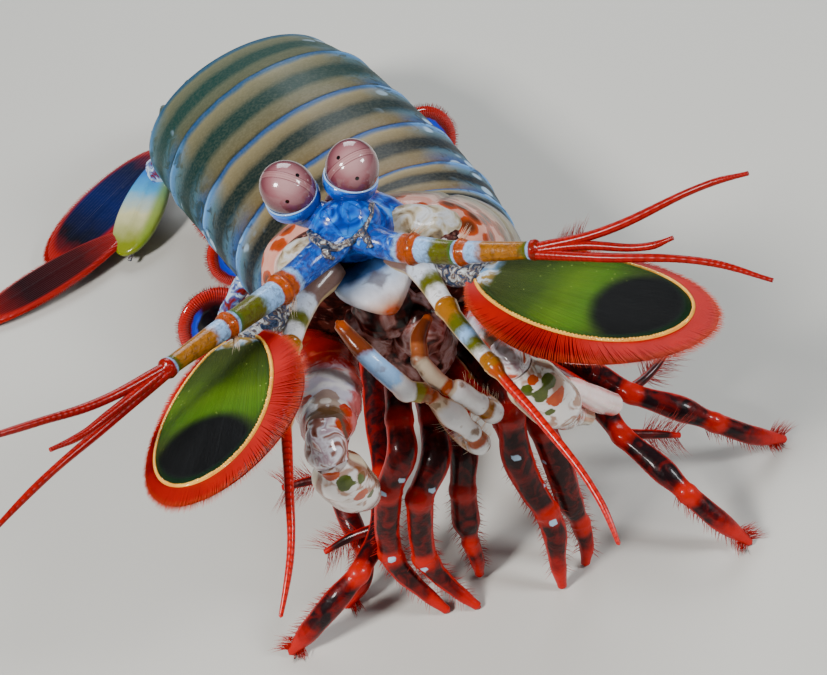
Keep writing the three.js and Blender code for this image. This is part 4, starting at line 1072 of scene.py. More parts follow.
def bladePaint(inner):
    p = Paint("scaleBlade", Specular_IOR_Level=0.1)
    lx = p.value("lx")
    ly = p.value("ly") * inner
    wobble = (p.noise(1.6, 3) - 0.5) * 0.16
    fan = ly.arctan2(lx + 1.9)
    streaks = p.stripes(fan * 150)
    veins = p.stripes(fan * 34)
    colour = p.ramp(lx * 0.5 + 0.5 + wobble * 0.5, [
        (0.0, rgb(8, 18, 4)), (0.16, rgb(12, 26, 4)), (0.32, rgb(24, 56, 2)), (0.46, rgb(66, 104, 1)),
        (0.56, rgb(52, 100, 2)), (0.66, rgb(6, 50, 4)), (0.76, rgb(1, 14, 6))])
    colour = p.mix(p.step(veins, 0.5, 0.36) * 0.55, colour, rgb(12, 26, 8))
    colour = p.mix(p.step(streaks, 0.42, 0.72) * 0.35, colour, rgb(146, 160, 40))
    far = ((lx - 0.66) / 0.5) ** 2 + ((ly - 0.1) / 0.92) ** 2
    black = p.step(far + wobble, 1.3, 0.7)
    colour = p.mix(black, colour, rgb(1, 2, 3))
    margin = p.value("reach")
    green = p.step(margin + wobble * 0.2, 0.88, 0.985)
    colour = p.mix(green * 0.6, colour, rgb(10, 52, 22))
    sparkle = p.step(p.cells(0.55), 0.16, 0.08) * p.step(p.noise(2.6, 2), 0.5, 0.6) * (1 - black)
    colour = p.mix(sparkle * 0.7, colour, rgb(170, 190, 90))
    base = p.step(lx + wobble + abs(ly) * 0.15, -0.74, -0.86)
    patch = p.ramp(p.noise(1.8, 3, 0.5, 1.0), [(0.4, rgb(120, 160, 200)), (0.5, rgb(206, 220, 236)),
                                              (0.6, rgb(150, 120, 60))])
    colour = p.mix(base, colour, patch)
    height = streaks * 0.5 + veins * 0.6 + p.noise(0.35, 2) * 0.3
    return p.finish(colour, 0.55, height, 0.05)


def fringePaint():
    p = Paint("fringeWeb", Coat_Weight=0.2)
    colour = p.mix(p.noise(2.5, 3), rgb(120, 4, 1), rgb(166, 12, 2))
    lines = p.stripes(p.value("turn") * 130, 1)
    strand = p.step(lines, 0.4, 0.62)
    colour = p.mix(strand * 0.55, colour, rgb(76, 2, 1))
    inner = p.step(p.value("lx"), -0.1, -0.75)
    colour = p.mix(inner * 0.7, colour, p.mix(strand, rgb(206, 44, 6), rgb(226, 120, 84)))
    return p.finish(colour, 0.5, strand + p.noise(0.4, 3) * 0.3, 0.12)


def setaPaint():
    p = Paint("fringeSetae", Roughness=0.42)
    tip = p.value("tip")
    colour = p.mix(p.noise(3.0, 2), rgb(140, 5, 1), rgb(184, 16, 4))
    colour = p.mix(p.step(tip, 0.6, 1.0) * 0.7, colour, rgb(226, 84, 44))
    return p.finish(colour)


def edgePaint():
    p = Paint("scaleBeads", Coat_Weight=0.7)
    colour = p.mix(p.noise(1.2, 2), rgb(226, 130, 26), rgb(246, 206, 90))
    return p.finish(colour, 0.3)


def scaleFrame(data):
    # middle and directions of a scale's blade
    base = np.array(data["base"])
    along, across, normal = plateFrame(np.array(data["tip"]) - base, data["across"])
    return base + along * scale["length"] / 2, along, across, normal


def onScale(middle, x, y, lift):
    # a point on the blade, which is a little hollow across its width
    centre, along, across, normal = middle
    return centre + along * x + across * y + normal * (lift - scale["hollow"] * y * y)


def swollen(x, y, reach):
    # thicker in the middle, with a raised line just inside the edge
    return 0.14 * (1 - reach ** 2) + 0.1 * np.exp(-((reach - 0.93) / 0.03) ** 2)


webFinish = fringePaint()
setaFinish = setaPaint()
edgeFinish = edgePaint()
shapeOf = egg(scale["length"], scale["width"], 0.1)
random.seed(23)
for side, data in scales.items():
    middle = scaleFrame(data)
    centre, along, across, normal = middle
    inner = data["inner"]
    facing = 1 if normal @ np.array(toCamera) > 0 else -1
    blade = drawVane("antennal_blade_" + side, centre, along, across, shapeOf, scale["thickness"] * 0.8,
                     camber=scale["hollow"], rings=40, columns=180, relief=swollen)
    dress(blade, bladePaint(inner), "scale_green", "antennal_scale_" + side)

    def webOutline(angle):
        x, y = shapeOf(angle)
        size = math.hypot(x, y)
        reach = fringeReach(angle, inner) * 0.86
        return x * (1 + reach / size), y * (1 + reach / size)

    web = drawVane("fringe_web_" + side, centre, along, across, webOutline, 0.34, camber=scale["hollow"],
                   rings=20, columns=180)
    dress(web, webFinish, "limb_red")

    rows = []
    for row, lift in ((0, 0.2), (1, -0.2)):
        for k in range(scale["setae"]):
            angle = -math.pi + 2 * math.pi * (k + random.random() * 0.6 + row * 0.5) / scale["setae"]
            x, y = shapeOf(angle)
            reach = fringeReach(angle, inner)
            size = math.hypot(x, y)
            out = along * x / size * 0.9 + across * y / size
            sweep = along * (0.3 + 0.2 * abs(math.sin(angle)))
            root = onScale(middle, x * 0.985, y * 0.985, lift * 0.7)
            long = reach * random.uniform(0.95, 1.08) + 0.12
            rows.append((root, out + sweep * 0.4, long, sweep * 0.22 + normal * lift * 0.1, roundMap(angle)))
    setae = bristles("fringe_setae_" + side, rows, 0.085)
    dress(setae, setaFinish, "limb_red")

    beadPieces = []
    for k in range(scale["beads"]):
        angle = -math.pi * 0.86 + 2 * math.pi * 0.86 * k / scale["beads"]
        x, y = shapeOf(angle)
        big = 0.17 if math.sin(angle) * inner > 0 else 0.12
        spot = onScale(middle, x * 0.992, y * 0.992, facing * 0.3)
        bpy.ops.object.select_all(action="DESELECT")
        bpy.ops.mesh.primitive_ico_sphere_add(subdivisions=1, radius=big * random.uniform(0.85, 1.2) * mm,
                                              location=Vector(spot) * mm + origin)
        beadPieces.append(bpy.context.object)
    rimJoints = []
    for k in range(scale["rimJoints"] + 1):
        angle = -math.pi * 0.9 + 2 * math.pi * 0.9 * k / scale["rimJoints"]
        x, y = shapeOf(angle)
        rimJoints.append([*onScale(middle, x * 0.996, y * 0.996, facing * 0.2), 0.15])
    rimLine = drawLimb("rim_line", rimJoints, sides=2, steps=3)
    beads = joinAll("scale_beads_" + side, [rimLine] + beadPieces)
    beads.data.transform(beads.matrix_world)
    beads.matrix_world = Matrix.Identity(4)
    bpy.ops.object.shade_smooth()
    dress(beads, edgeFinish, "scale_green")

    base = np.array(data["base"])
    root = np.array(data["root"])
    joints = [[*root, 1.5], [*(base + (root - base) * 0.45), 1.6, 1.9], [*(base + along * 0.8), 1.0, 2.0]]
    stalk = drawLimb("scale_stalk_" + side, joints, sides=8, steps=8)
    dress(stalk, ridgeFinish, "scale_green")

print("claws")

claws = {
    "right": {
        "merus": [[-2.8, 5.2, 27.6, 2.0, 1.8], [-5.7, 3.0, 29.0, 2.6, 2.2],
                  [-5.3, -4.0, 30.8, 3.4, 2.8], [-5.5, -10.5, 32.9, 3.3, 2.8],
                  [-5.8, -15.4, 34.6, 2.6, 2.4], [-5.9, -17.0, 35.2, 2.0, 2.0]],
        "carpus": [[-6.1, -16.4, 35.4, 1.6, 1.6], [-6.4, -18.6, 34.6, 2.0, 2.2],
                   [-6.3, -19.4, 33.4, 1.6, 1.9]],
        "propodus": [[-6.3, -19.3, 33.8, 1.6, 1.7], [-6.1, -18.9, 31.4, 2.6, 2.3],
                     [-5.5, -17.3, 27.6, 2.5, 2.1], [-5.0, -15.2, 24.4, 1.7, 1.5],
                     [-4.7, -12.4, 21.6, 1.2, 1.1], [-4.5, -10.9, 20.0, 0.9, 0.9]],
        "dactyl": [[-7.4, -16.4, 29.4, 0.6], [-7.2, -14.2, 26.0, 0.9], [-6.8, -11.4, 22.6, 1.3],
                   [-6.6, -9.9, 21.0, 1.1]],
    },
    "left": {
        "merus": [[8.2, 6.0, 25.8, 2.0, 1.8], [11.4, 4.0, 27.4, 2.6, 2.2], [11.7, -2.4, 30.0, 3.3, 2.8],
                  [11.7, -8.4, 33.0, 3.2, 2.8], [11.8, -12.2, 34.8, 2.5, 2.4],
                  [11.8, -13.2, 35.3, 2.0, 2.0]],
        "carpus": [[11.8, -12.8, 35.2, 1.6, 1.6], [12.0, -14.4, 34.6, 2.0, 2.2],
                   [12.4, -15.1, 33.6, 1.6, 1.9]],
        "propodus": [[12.2, -15.1, 34.2, 1.6, 1.7], [13.2, -15.3, 31.8, 2.6, 2.3],
                     [14.6, -15.1, 28.6, 2.6, 2.3], [15.4, -13.6, 25.6, 1.7, 1.6],
                     [16.6, -10.0, 21.6, 1.2, 1.2], [18.2, -7.2, 18.0, 0.9, 0.9]],
        "dactyl": [[16.2, -13.4, 29.0, 0.7], [17.4, -11.4, 25.8, 1.1], [19.4, -8.6, 21.2, 1.3],
                   [21.0, -6.4, 17.9, 1.2]],
    },
}


def merusPaint():
    p = Paint("clawMerus", Coat_Weight=0.5, Coat_Roughness=0.1)
    wobble = p.noise(1.3, 3, 0.55, 0.8) - 0.5
    along = p.value("along") + wobble * 0.8
    patches = p.noise(2.6, 2, 0.5, 0.8)
    pale = p.mix(p.step(patches, 0.36, 0.6), rgb(196, 190, 206), rgb(226, 222, 222))
    pale = p.mix(p.step(p.value("tan") + wobble * 0.9, 0.35, 0.6) * 0.75, pale, rgb(140, 104, 70))
    pale = p.mix(p.step(p.value("core") + wobble * 0.6, 0.4, 0.7) * 0.8, pale, rgb(222, 212, 200))
    pale = p.mix(p.step(p.value("rust") + wobble * 1.2, 0.4, 0.6), pale, rgb(176, 50, 10))
    red = p.mix(p.step(patches, 0.5, 0.7) * 0.5, rgb(140, 8, 2), rgb(206, 90, 60))
    colour = p.mix(p.step(along, 2.5, 3.1), red, pale)
    colour = p.mix(p.step(along, 4.4, 4.7) * 0.9, colour, rgb(96, 60, 16))
    colour = p.mix(p.step(abs(p.value("edge")) + wobble * 0.5, 0.72, 0.9) * 0.85, colour, rgb(176, 36, 6))
    return p.finish(colour, 0.25, patches + p.noise(0.7) * 0.3, 0.1)


def pearlPaint():
    p = Paint("clawWrist", Coat_Weight=0.7, Coat_Roughness=0.06)
    folds = p.noise(2.6, 2, 0.5, 1.1)
    colour = p.ramp(folds, [
        (0.3, rgb(96, 34, 12)), (0.38, rgb(140, 96, 86)), (0.44, rgb(216, 212, 220)),
        (0.52, rgb(170, 140, 150)), (0.58, rgb(226, 220, 220)), (0.66, rgb(176, 60, 12))])
    colour = p.mix(p.step(abs(p.value("edge")) + (folds - 0.5), 0.75, 0.9) * 0.8, colour, rgb(170, 54, 10))
    return p.finish(colour, 0.18, folds * 1.4 + p.noise(1.2, 2) * 0.3, 0.2)


def propodusPaint():
    p = Paint("clawPropodus", Coat_Weight=0.6, Coat_Roughness=0.06)
    wobble = p.noise(1.1, 3, 0.5, 0.6) - 0.5
    colour = p.mix(p.noise(1.5), rgb(216, 206, 200), rgb(232, 228, 226))
    shade = p.step(p.noise(1.9, 2, 0.5, 1.2), 0.5, 0.64)
    colour = p.mix(shade * 0.85, colour, rgb(150, 96, 60))
    rust = p.step(p.value("rust") + wobble * 0.9, 0.4, 0.6)
    green = p.step(p.value("green") + wobble * 0.7, 0.4, 0.6)
    colour = p.mix(rust, colour, p.mix(p.noise(0.9), rgb(150, 34, 4), rgb(196, 84, 20)))
    colour = p.mix(green, colour, p.mix(p.noise(0.9), rgb(34, 52, 8), rgb(96, 104, 30)))
    tip = p.step(p.value("along") + wobble * 0.3, 4.0, 4.4)
    colour = p.mix(tip * 0.9, colour, rgb(206, 190, 160))
    amber = p.step(abs(p.value("edge")) + wobble * 0.2, 0.74, 0.84)
    colour = p.mix(amber * 0.85, colour, rgb(120, 60, 10))
    colour = p.mix(p.step(abs(p.value("edge")), 0.93, 0.98) * 0.8, colour, rgb(216, 200, 170))
    return p.finish(colour, 0.2, p.noise(1.4, 2) * 0.6 - green * 0.2, 0.1)


def dactylPaint():
    p = Paint("clawDactyl", Coat_Weight=0.9, Coat_Roughness=0.06, Subsurface_Weight=0.3,
              Subsurface_Scale=0.001)
    edge = abs(p.value("edge"))
    colour = p.mix(p.step(edge, 0.55, 0.95), rgb(240, 214, 210), rgb(226, 110, 104))
    colour = p.mix(p.step(p.noise(1.2), 0.55, 0.7) * 0.4, colour, rgb(250, 240, 238))
    return p.finish(colour, 0.2, p.noise(0.6), 0.05)


clawSpots = {  # across, down and radius in mm of the spots seen on the claws
    "green": [(549, 381, 0.8), (540, 396, 0.75), (526, 391, 0.6), (550, 412, 0.5), (345, 484, 0.85),
              (362, 478, 0.6), (371, 494, 0.5)],
    "rust": [(555, 400, 0.8), (533, 380, 0.5), (561, 392, 0.5), (362, 495, 0.8), (330, 474, 0.8),
             (352, 452, 0.7), (318, 432, 0.7), (306, 400, 0.6), (347, 410, 0.8)],
    "tan": [(325, 396, 1.4), (330, 405, 1.2), (516, 352, 0.8)],
    "core": [(326, 400, 0.6), (517, 352, 0.3)],
}
clawFinishes = {
    "merus": merusPaint(),
    "carpus": pearlPaint(),
    "propodus": propodusPaint(),
    "dactyl": dactylPaint(),
}
for side, data in claws.items():
    for part, joints in data.items():
        piece = drawLimb("claw_" + part + "_" + side, joints, sides=12, steps=12, up=(1, 0, 0))
        if part in ("carpus", "merus"):
            for vertex in piece.data.vertices:
                vertex.co += vertex.normal * noise.fractal(vertex.co / (1.6 * mm), 1.0, 2.0, 3) * 0.16 * mm
        for spotName, spots in clawSpots.items():
            markSpots(piece, spotName, spots)
        slot = "limb_red" if part == "merus" else "claw"
        dress(piece, clawFinishes[part], slot, "raptorial_" + part + "_" + side)

print("mouth")

mouth = {
    "labrum": (2.3, -4.6, 39.6),
    "lumps": [
        ((2.2, -2.4, 35.2), (3.3, 3.0, 3.2), (0, 0, 1)),
        ((5.0, -3.2, 32.4), (2.8, 2.6, 3.6), (0.3, 0, 1)),
        ((3.6, -0.6, 28.2), (4.6, 4.4, 4.2), (0, 0, 1)),
        ((0.2, -1.6, 31.4), (2.2, 2.4, 4.2), (-0.2, 0, 1)),
    ],
}


def labrumPaint():
    p = Paint("labrumPlate", Coat_Weight=0.4, Coat_Roughness=0.1)
    lx = p.value("lx") + (p.noise(1.6) - 0.5) * 0.3
    colour = p.ramp(lx * 0.5 + 0.5, [
        (0.1, rgb(10, 20, 40)), (0.3, rgb(50, 84, 130)), (0.44, rgb(180, 200, 226)),
        (0.7, rgb(216, 216, 224)), (0.9, rgb(190, 150, 130)), (0.97, rgb(170, 66, 10))])
    middle = p.step(abs(p.value("ly")) + abs(lx + 0.1) + (p.noise(1.0) - 0.5) * 0.3, 0.42, 0.24)
    colour = p.mix(middle * 0.7, colour, rgb(84, 70, 70))
    return p.finish(colour, 0.25, p.noise(0.8, 3), 0.12)


def mouthPaint():
    p = Paint("mouthFlesh", Coat_Weight=0.3, Coat_Roughness=0.2)
    folds = p.noise(2.8, 3, 0.5, 1.2)
    colour = p.ramp(folds, [(0.32, rgb(20, 5, 4)), (0.41, rgb(84, 26, 18)), (0.48, rgb(150, 92, 84)),
                            (0.57, rgb(186, 152, 152)), (0.66, rgb(150, 84, 76)), (0.74, rgb(104, 28, 12))])
    return p.finish(colour, 0.3, folds * 1.5 + p.noise(0.7, 2) * 0.4, 0.2)


labrum = drawVane("labrum_plate", mouth["labrum"], (0.2, -1.0, -0.55), (1, 0.2, 0),
                  egg(6.4, 7.2, -0.55), 2.0, rings=16)
dress(labrum, labrumPaint(), "claw", "labrum")
lumps = [ball("lump", *lump, 48, 32, 0.5, 2.2) for lump in mouth["lumps"]]
lumps = joinAll("mouth_mass", lumps)
dress(lumps, mouthPaint(), "limb_dark", "mouthparts")

print("maxillipeds")

maxilliped1 = {
    "right": [[4.0, 0.4, 23.6, 1.3], [5.4, -7.6, 22.6, 1.2], [7.0, -12.2, 23.6, 1.15],
              [6.6, -12.7, 25.8, 1.0], [5.3, -12.7, 28.7, 1.3], [3.9, -12.5, 31.4, 0.8],
              [3.2, -12.5, 32.2, 1.0], [1.9, -12.7, 33.2, 1.1], [-0.4, -11.6, 37.2, 0.95],
              [-2.2, -8.6, 39.7, 0.6]],
    "left": [[6.4, 0.6, 23.4, 1.3], [8.6, -6.6, 23.4, 1.2], [9.0, -10.6, 25.6, 1.15],
             [8.0, -11.2, 27.6, 1.1], [6.4, -11.6, 30.4, 1.1], [5.6, -11.6, 31.2, 0.85],
             [4.6, -10.9, 32.4, 0.9], [3.9, -9.7, 33.7, 0.9], [4.4, -7.9, 34.8, 0.8],
             [5.8, -5.9, 35.2, 0.5]],
}
maxillipeds = {
    "maxilliped_3_right": [
        [1.6, 3.4, 23.4, 1.5], [0.2, -5.6, 23.4, 1.5], [-0.4, -8.0, 21.6, 1.55], [-2.9, -8.6, 17.6, 1.5],
        [-4.3, -8.5, 12.4, 1.3, 1.5], [-4.8, -8.2, 8.6, 1.4, 1.7], [-4.4, -8.6, 6.2, 1.1],
        [-2.6, -9.6, 2.6, 0.8], [-1.1, -10.5, 0.3, 0.5]],
    "maxilliped_4_right": [
        [3.6, 5.4, 21.4, 1.5], [3.4, -3.6, 20.6, 1.5], [2.6, -7.6, 19.2, 1.55], [-0.2, -9.0, 15.6, 1.5],
        [-1.2, -8.9, 10.6, 1.3, 1.5], [-1.6, -8.9, 7.2, 1.4, 1.7], [-0.8, -9.3, 4.6, 1.0],
        [0.8, -10.4, 2.0, 0.75], [2.1, -11.2, 0.3, 0.5]],
    "maxilliped_5_right": [
        [4.6, 7.6, 19.0, 1.5], [6.0, -0.6, 17.8, 1.4], [5.6, -4.6, 16.6, 1.5], [4.2, -6.0, 12.0, 1.5, 1.7],
        [3.6, -6.4, 8.0, 1.5, 1.8], [3.4, -7.0, 5.4, 1.0], [3.5, -7.3, 3.0, 0.8], [3.3, -7.4, 0.7, 0.5]],
    "maxilliped_3_left": [
        [8.4, 3.4, 22.4, 1.5], [10.6, -5.6, 24.0, 1.5], [10.8, -8.8, 22.6, 1.5], [10.3, -9.6, 18.0, 1.6],
        [10.9, -10.2, 13.4, 1.4, 1.6], [11.7, -10.8, 10.4, 1.4, 1.7], [11.9, -11.0, 7.6, 1.3, 1.5],
        [11.4, -11.6, 3.6, 0.9], [11.2, -12.0, 0.3, 0.5]],
    "maxilliped_4_left": [
        [8.2, 5.6, 20.6, 1.5], [12.2, -3.4, 20.4, 1.5], [13.6, -7.4, 18.6, 1.5],
        [14.2, -8.4, 13.0, 1.5, 1.6], [14.4, -8.6, 8.6, 1.4, 1.6], [14.9, -8.8, 5.2, 1.1],
        [14.9, -9.4, 2.4, 0.8], [14.3, -9.9, 0.3, 0.5]],
    "maxilliped_5_left": [
        [7.4, 7.8, 18.6, 1.4], [9.6, 1.4, 17.4, 1.4], [10.4, -2.4, 16.2, 1.4], [10.8, -5.0, 12.6, 1.4, 1.5],
        [11.2, -6.0, 9.6, 1.3, 1.4], [11.4, -7.2, 7.8, 0.8], [11.4, -8.0, 6.6, 0.5]],
}
knotsOf = {  # the joints that carry a collar
    "maxilliped_3_right": (1, 3, 5),
    "maxilliped_4_right": (1, 3, 5),
    "maxilliped_5_right": (1, 3, 5),
    "maxilliped_3_left": (2, 5),
    "maxilliped_4_left": (2, 5),
    "maxilliped_5_left": (2, 4),
}


def maxilliped1Paint(side):
    p = Paint("maxilliped1_" + side, Coat_Weight=0.4, Coat_Roughness=0.1)
    along = p.value("along") + (p.noise(1.1) - 0.5) * 0.35
    amber = rgb(104, 44, 16)
    cream = rgb(206, 186, 160)
    if side == "right":
        stops = [(0, deepRed), (1.4, white), (2.4, orange), (2.9, white), (4.5, cream), (4.9, orange),
                 (6.1, rgb(130, 120, 10)), (6.7, white), (7.3, paleBlue), (8.1, amber), (8.85, orange)]
    else:
        stops = [(0, deepRed), (1.4, white), (2.4, gold), (2.9, white), (4.5, cream), (4.9, orange),
                 (5.3, cream), (7.0, rgb(150, 80, 40)), (7.7, amber), (8.8, orange)]
    colour = p.bands(along, 9, stops)
    speck = p.step(p.cells(1.7) + (p.noise(0.8, 3) - 0.5) * 0.7, 0.34, 0.16) * p.step(along, 8.0, 7.6)
    colour = p.mix(speck * 0.8, colour, rgb(120, 76, 10))
    edge = p.step(abs(p.value("edge")), 0.84, 0.98)
    colour = p.mix(edge * 0.6, colour, rgb(226, 180, 130))
    return p.finish(colour, 0.25, p.noise(0.6, 3), 0.1)


paleSpots = [  # across, down and radius in mm of the pale spots seen on the limbs
    (402, 481, 0.4), (405, 508, 0.45), (433, 490, 0.45), (449, 506, 0.25), (392, 560, 0.45),
    (424, 570, 0.4), (458, 568, 0.3), (516, 458, 0.5), (544, 463, 0.3), (544, 485, 0.3),
    (553, 523, 0.5), (436, 590, 0.3), (383, 494, 0.35),
]


def limbPaint(name, margin=0.7, ragged=1.0, dark=rgb(34, 1, 2)):
    # dark red with bright edges, joints and tips; ragged is how uneven its pale spots are
    p = Paint(name, Coat_Weight=0.25, Coat_Roughness=0.1)
    wobble = (p.noise(1.4, 3) - 0.5) * 0.3
    colour = p.mix(p.step(p.noise(1.8, 3, 0.5, 1.0), 0.4, 0.7), dark, rgb(104, 4, 3))
    edge = p.step(abs(p.value("edge")) + wobble, margin, margin + 0.2)
    colour = p.mix(edge, colour, rgb(176, 12, 3))
    joint = p.step(p.value("joint") + wobble, 0.35, 0.75)
    colour = p.mix(joint * 0.9, colour, rgb(190, 20, 3))
    colour = p.mix(p.step(p.value("end") + wobble * 0.4, 0.8, 0.95), colour, rgb(184, 12, 3))
    spot = p.step(p.value("pale") + wobble * ragged, 0.4, 0.65)
    colour = p.mix(spot, colour, rgb(170, 200, 226))
    return p.finish(colour, 0.4, p.noise(0.7, 3) + spot * 0.3, 0.1)


limbFinish = limbPaint("maxillipedRed")
legFinish = limbPaint("legMaroon", 0.78, 0.25, rgb(22, 3, 8))


def limbPoint(joints, spot):
    # place, direction and radius at a spot counted in joints
    k = min(int(spot), len(joints) - 2)
    t = spot - k
    first = np.array(joints[k][:3], float)
    second = np.array(joints[k + 1][:3], float)
    radius = joints[k][3] + (joints[k + 1][3] - joints[k][3]) * t
    return first + (second - first) * t, unit(second - first), radius


def jointedLimb(name, joints, knots):
    # a flattened limb with collars, which its finish finds by the attribute "joint"
    dense = ringed(joints, knots)
    collars = [k for k, joint in enumerate(dense) if any(joint[:3] == joints[n][:3] for n in knots)]
    limb = drawLimb(name, dense, sides=8, steps=6, flat=0.85, knots=collars)
    retime(limb, joints)
    return limb


def limbHairs(name, joints, start, end, count, length, sides, seed, radius):
    # rows of bristles on both edges of a limb, leaning towards its tip
    draw = random.Random(seed)
    rows = []
    for k in range(count):
        spot = start + (end - start) * (k + draw.random()) / count
        centre, tangent, thick = limbPoint(joints, spot)
        edgeways = unit(np.cross(tangent, np.array(toCamera)))
        side = sides[k % len(sides)]
        out = edgeways * side + np.array(toCamera) * draw.uniform(-0.5, 0.5)
        out = unit(out - tangent * (out @ tangent))
        head = out + tangent * draw.uniform(0.3, 1.0)
        long = length * draw.uniform(0.6, 1.15)
        bend = tangent * draw.uniform(0.0, 0.3) + np.array([draw.uniform(-0.1, 0.1) for n in range(3)])
        patch = (0.02 + 0.95 * spot / len(joints), 0.25 + 0.25 * side + 0.02 * draw.random())
        rows.append((centre + out * thick * 0.8, head, long, bend, patch))
    return bristles(name, rows, radius)


def hairPaint():
    p = Paint("legSetae", Roughness=0.4)
    colour = p.mix(p.noise(2.0, 2), rgb(120, 6, 5), rgb(180, 20, 8))
    colour = p.mix(p.step(p.value("tip"), 0.5, 1.0) * 0.4, colour, rgb(216, 90, 70))
    return p.finish(colour)


def paleHairPaint():
    p = Paint("paleSetae", Roughness=0.4)
    colour = p.mix(p.value("tip"), rgb(190, 120, 60), rgb(236, 220, 196))
    return p.finish(colour)


hairFinish = hairPaint()
paleHairFinish = paleHairPaint()
for side, joints in maxilliped1.items():
    piece = drawLimb("maxilliped_1_limb_" + side, ringed(joints, (3, 5, 7)), sides=8, steps=6)
    retime(piece, joints)
    dress(piece, maxilliped1Paint(side), "claw", "maxilliped_1_" + side)
    hairs = limbHairs("maxilliped_1_setae_" + side, joints, 2.0, 4.0, count=40, length=1.4,
                      sides=(1, -1), seed=5, radius=0.022)
    dress(hairs, paleHairFinish, "feeler")
for side, data in antennules.items():
    for k, (start, end) in enumerate(((1.5, 2.1), (4.6, 5.2))):
        name = "antennule_setae_" + str(k + 1) + "_" + side
        hairs = limbHairs(name, data["peduncle"], start, end, count=16, length=1.7, sides=(-1,),
                          seed=15 + k, radius=0.03)
        dress(hairs, paleHairFinish, "feeler")
for number, (name, joints) in enumerate(maxillipeds.items()):
    piece = jointedLimb(name + "_limb", joints, knotsOf[name])
    markSpots(piece, "pale", paleSpots, 0.15)
    dress(piece, limbFinish, "limb_dark", name)
    hairs = limbHairs(name + "_setae", joints, 3.0, len(joints) - 1.6, count=90, length=1.2,
                      sides=(1, -1), seed=40 + number, radius=0.035)
    dress(hairs, hairFinish, "limb_red")

print("walking legs")

legs = {
    "walking_leg_1_left": {
        "leg": [[9.6, 15.6, 16.6, 1.6], [15.6, 7.6, 13.4, 1.4], [20.5, -0.4, 12.2, 1.3],
                [21.6, -4.6, 11.4, 1.2], [24.4, -9.0, 9.2, 1.35], [26.0, -11.2, 7.3, 1.15],
                [28.4, -12.9, 4.0, 1.1], [31.0, -13.8, 0.3, 0.4]],
        "branch": [[21.6, -4.4, 11.4, 0.6], [24.6, -4.2, 10.0, 0.5], [27.6, -4.0, 8.4, 0.3]],
        "knots": (3, 5),
    },
    "walking_leg_2_left": {
        "leg": [[10.2, 18.6, 14.6, 1.6], [16.0, 11.6, 13.2, 1.4], [21.4, 4.0, 12.8, 1.3],
                [24.2, 1.3, 11.2, 1.2], [28.8, -0.7, 8.8, 1.4], [31.9, -1.7, 6.4, 1.15],
                [35.6, -2.0, 3.2, 1.05], [39.2, -1.3, 0.4, 0.45]],
        "branch": [[24.0, 1.6, 11.2, 0.6], [27.0, 3.4, 11.2, 0.5], [29.8, 5.4, 11.8, 0.3]],
        "knots": (3, 5),
    },
    "walking_leg_3_left": {
        "leg": [[10.4, 22.4, 12.8, 1.6], [16.0, 24.6, 12.6, 1.4], [20.6, 27.4, 12.4, 1.25],
                [22.6, 30.4, 9.6, 1.25], [24.4, 33.6, 6.0, 1.1], [26.0, 36.4, 2.8, 0.9],
                [27.2, 38.6, 0.3, 0.4]],
        "branch": [[20.4, 27.4, 12.2, 0.6], [23.6, 27.6, 11.6, 0.5], [26.4, 28.4, 11.4, 0.3]],
        "knots": (2, 4),
    },
    "walking_leg_1_right": {
        "leg": [[-0.6, 15.6, 16.4, 1.6], [-2.4, 7.6, 12.4, 1.4], [-3.4, 0.6, 10.6, 1.3],
                [-5.4, -4.8, 8.4, 1.25], [-8.6, -8.6, 7.4, 1.2], [-11.6, -9.6, 5.8, 1.3],
                [-15.2, -9.8, 2.8, 1.15], [-18.0, -9.9, 0.4, 0.45]],
        "branch": [[-5.4, -4.2, 8.6, 0.6], [-8.4, -3.8, 8.0, 0.5], [-11.6, -3.6, 6.8, 0.3]],
        "knots": (2, 4),
    },
    "walking_leg_2_right": {
        "leg": [[-1.2, 18.6, 14.4, 1.6], [-5.4, 11.6, 12.2, 1.4], [-8.8, 4.6, 9.6, 1.25],
                [-8.2, -0.6, 7.0, 1.25], [-7.6, -3.6, 4.8, 1.15], [-8.8, -5.0, 2.6, 1.05],
                [-11.2, -5.9, 0.4, 0.45]],
        "branch": [[-8.6, 4.2, 9.6, 0.6], [-11.6, 4.8, 9.4, 0.5], [-14.4, 5.0, 9.4, 0.3]],
        "knots": (2, 4),
    },
    "walking_leg_3_right": {
        "leg": [[-1.6, 22.4, 12.6, 1.6], [-7.2, 24.6, 11.8, 1.4], [-11.8, 27.4, 11.2, 1.25],
                [-13.4, 30.4, 8.8, 1.25], [-15.0, 33.4, 5.6, 1.1], [-16.2, 35.6, 2.8, 0.9],
                [-17.0, 37.4, 0.3, 0.4]],
        "branch": [[-11.6, 27.4, 11.0, 0.6], [-14.6, 27.4, 10.6, 0.5], [-17.4, 27.8, 10.4, 0.3]],
        "knots": (2, 4),
    },
}
for number, (name, data) in enumerate(legs.items()):
    joints = data["leg"]
    last = len(joints) - 1
    leg = jointedLimb(name + "_limb", joints, data["knots"])
    dress(leg, legFinish, "limb_dark", name)
    branch = drawLimb(name + "_branch", data["branch"], sides=5, steps=8)
    retime(branch, data["branch"])
    dress(branch, limbFinish, "limb_red")
    parts = [
        limbHairs("shin", joints, last - 2.2, last - 0.4, count=46, length=1.3, sides=(1,),
                  seed=60 + number, radius=0.045),
        limbHairs("brush", joints, last - 0.45, last - 0.02, count=70, length=1.9, sides=(1, -1),
                  seed=70 + number, radius=0.045),
        limbHairs("plume", data["branch"], 0.7, 1.95, count=120, length=2.6, sides=(1, -1),
                  seed=80 + number, radius=0.03),
    ]
    hairs = joinAll(name + "_setae", parts)
    dress(hairs, hairFinish, "limb_red")

print("swimmerets")

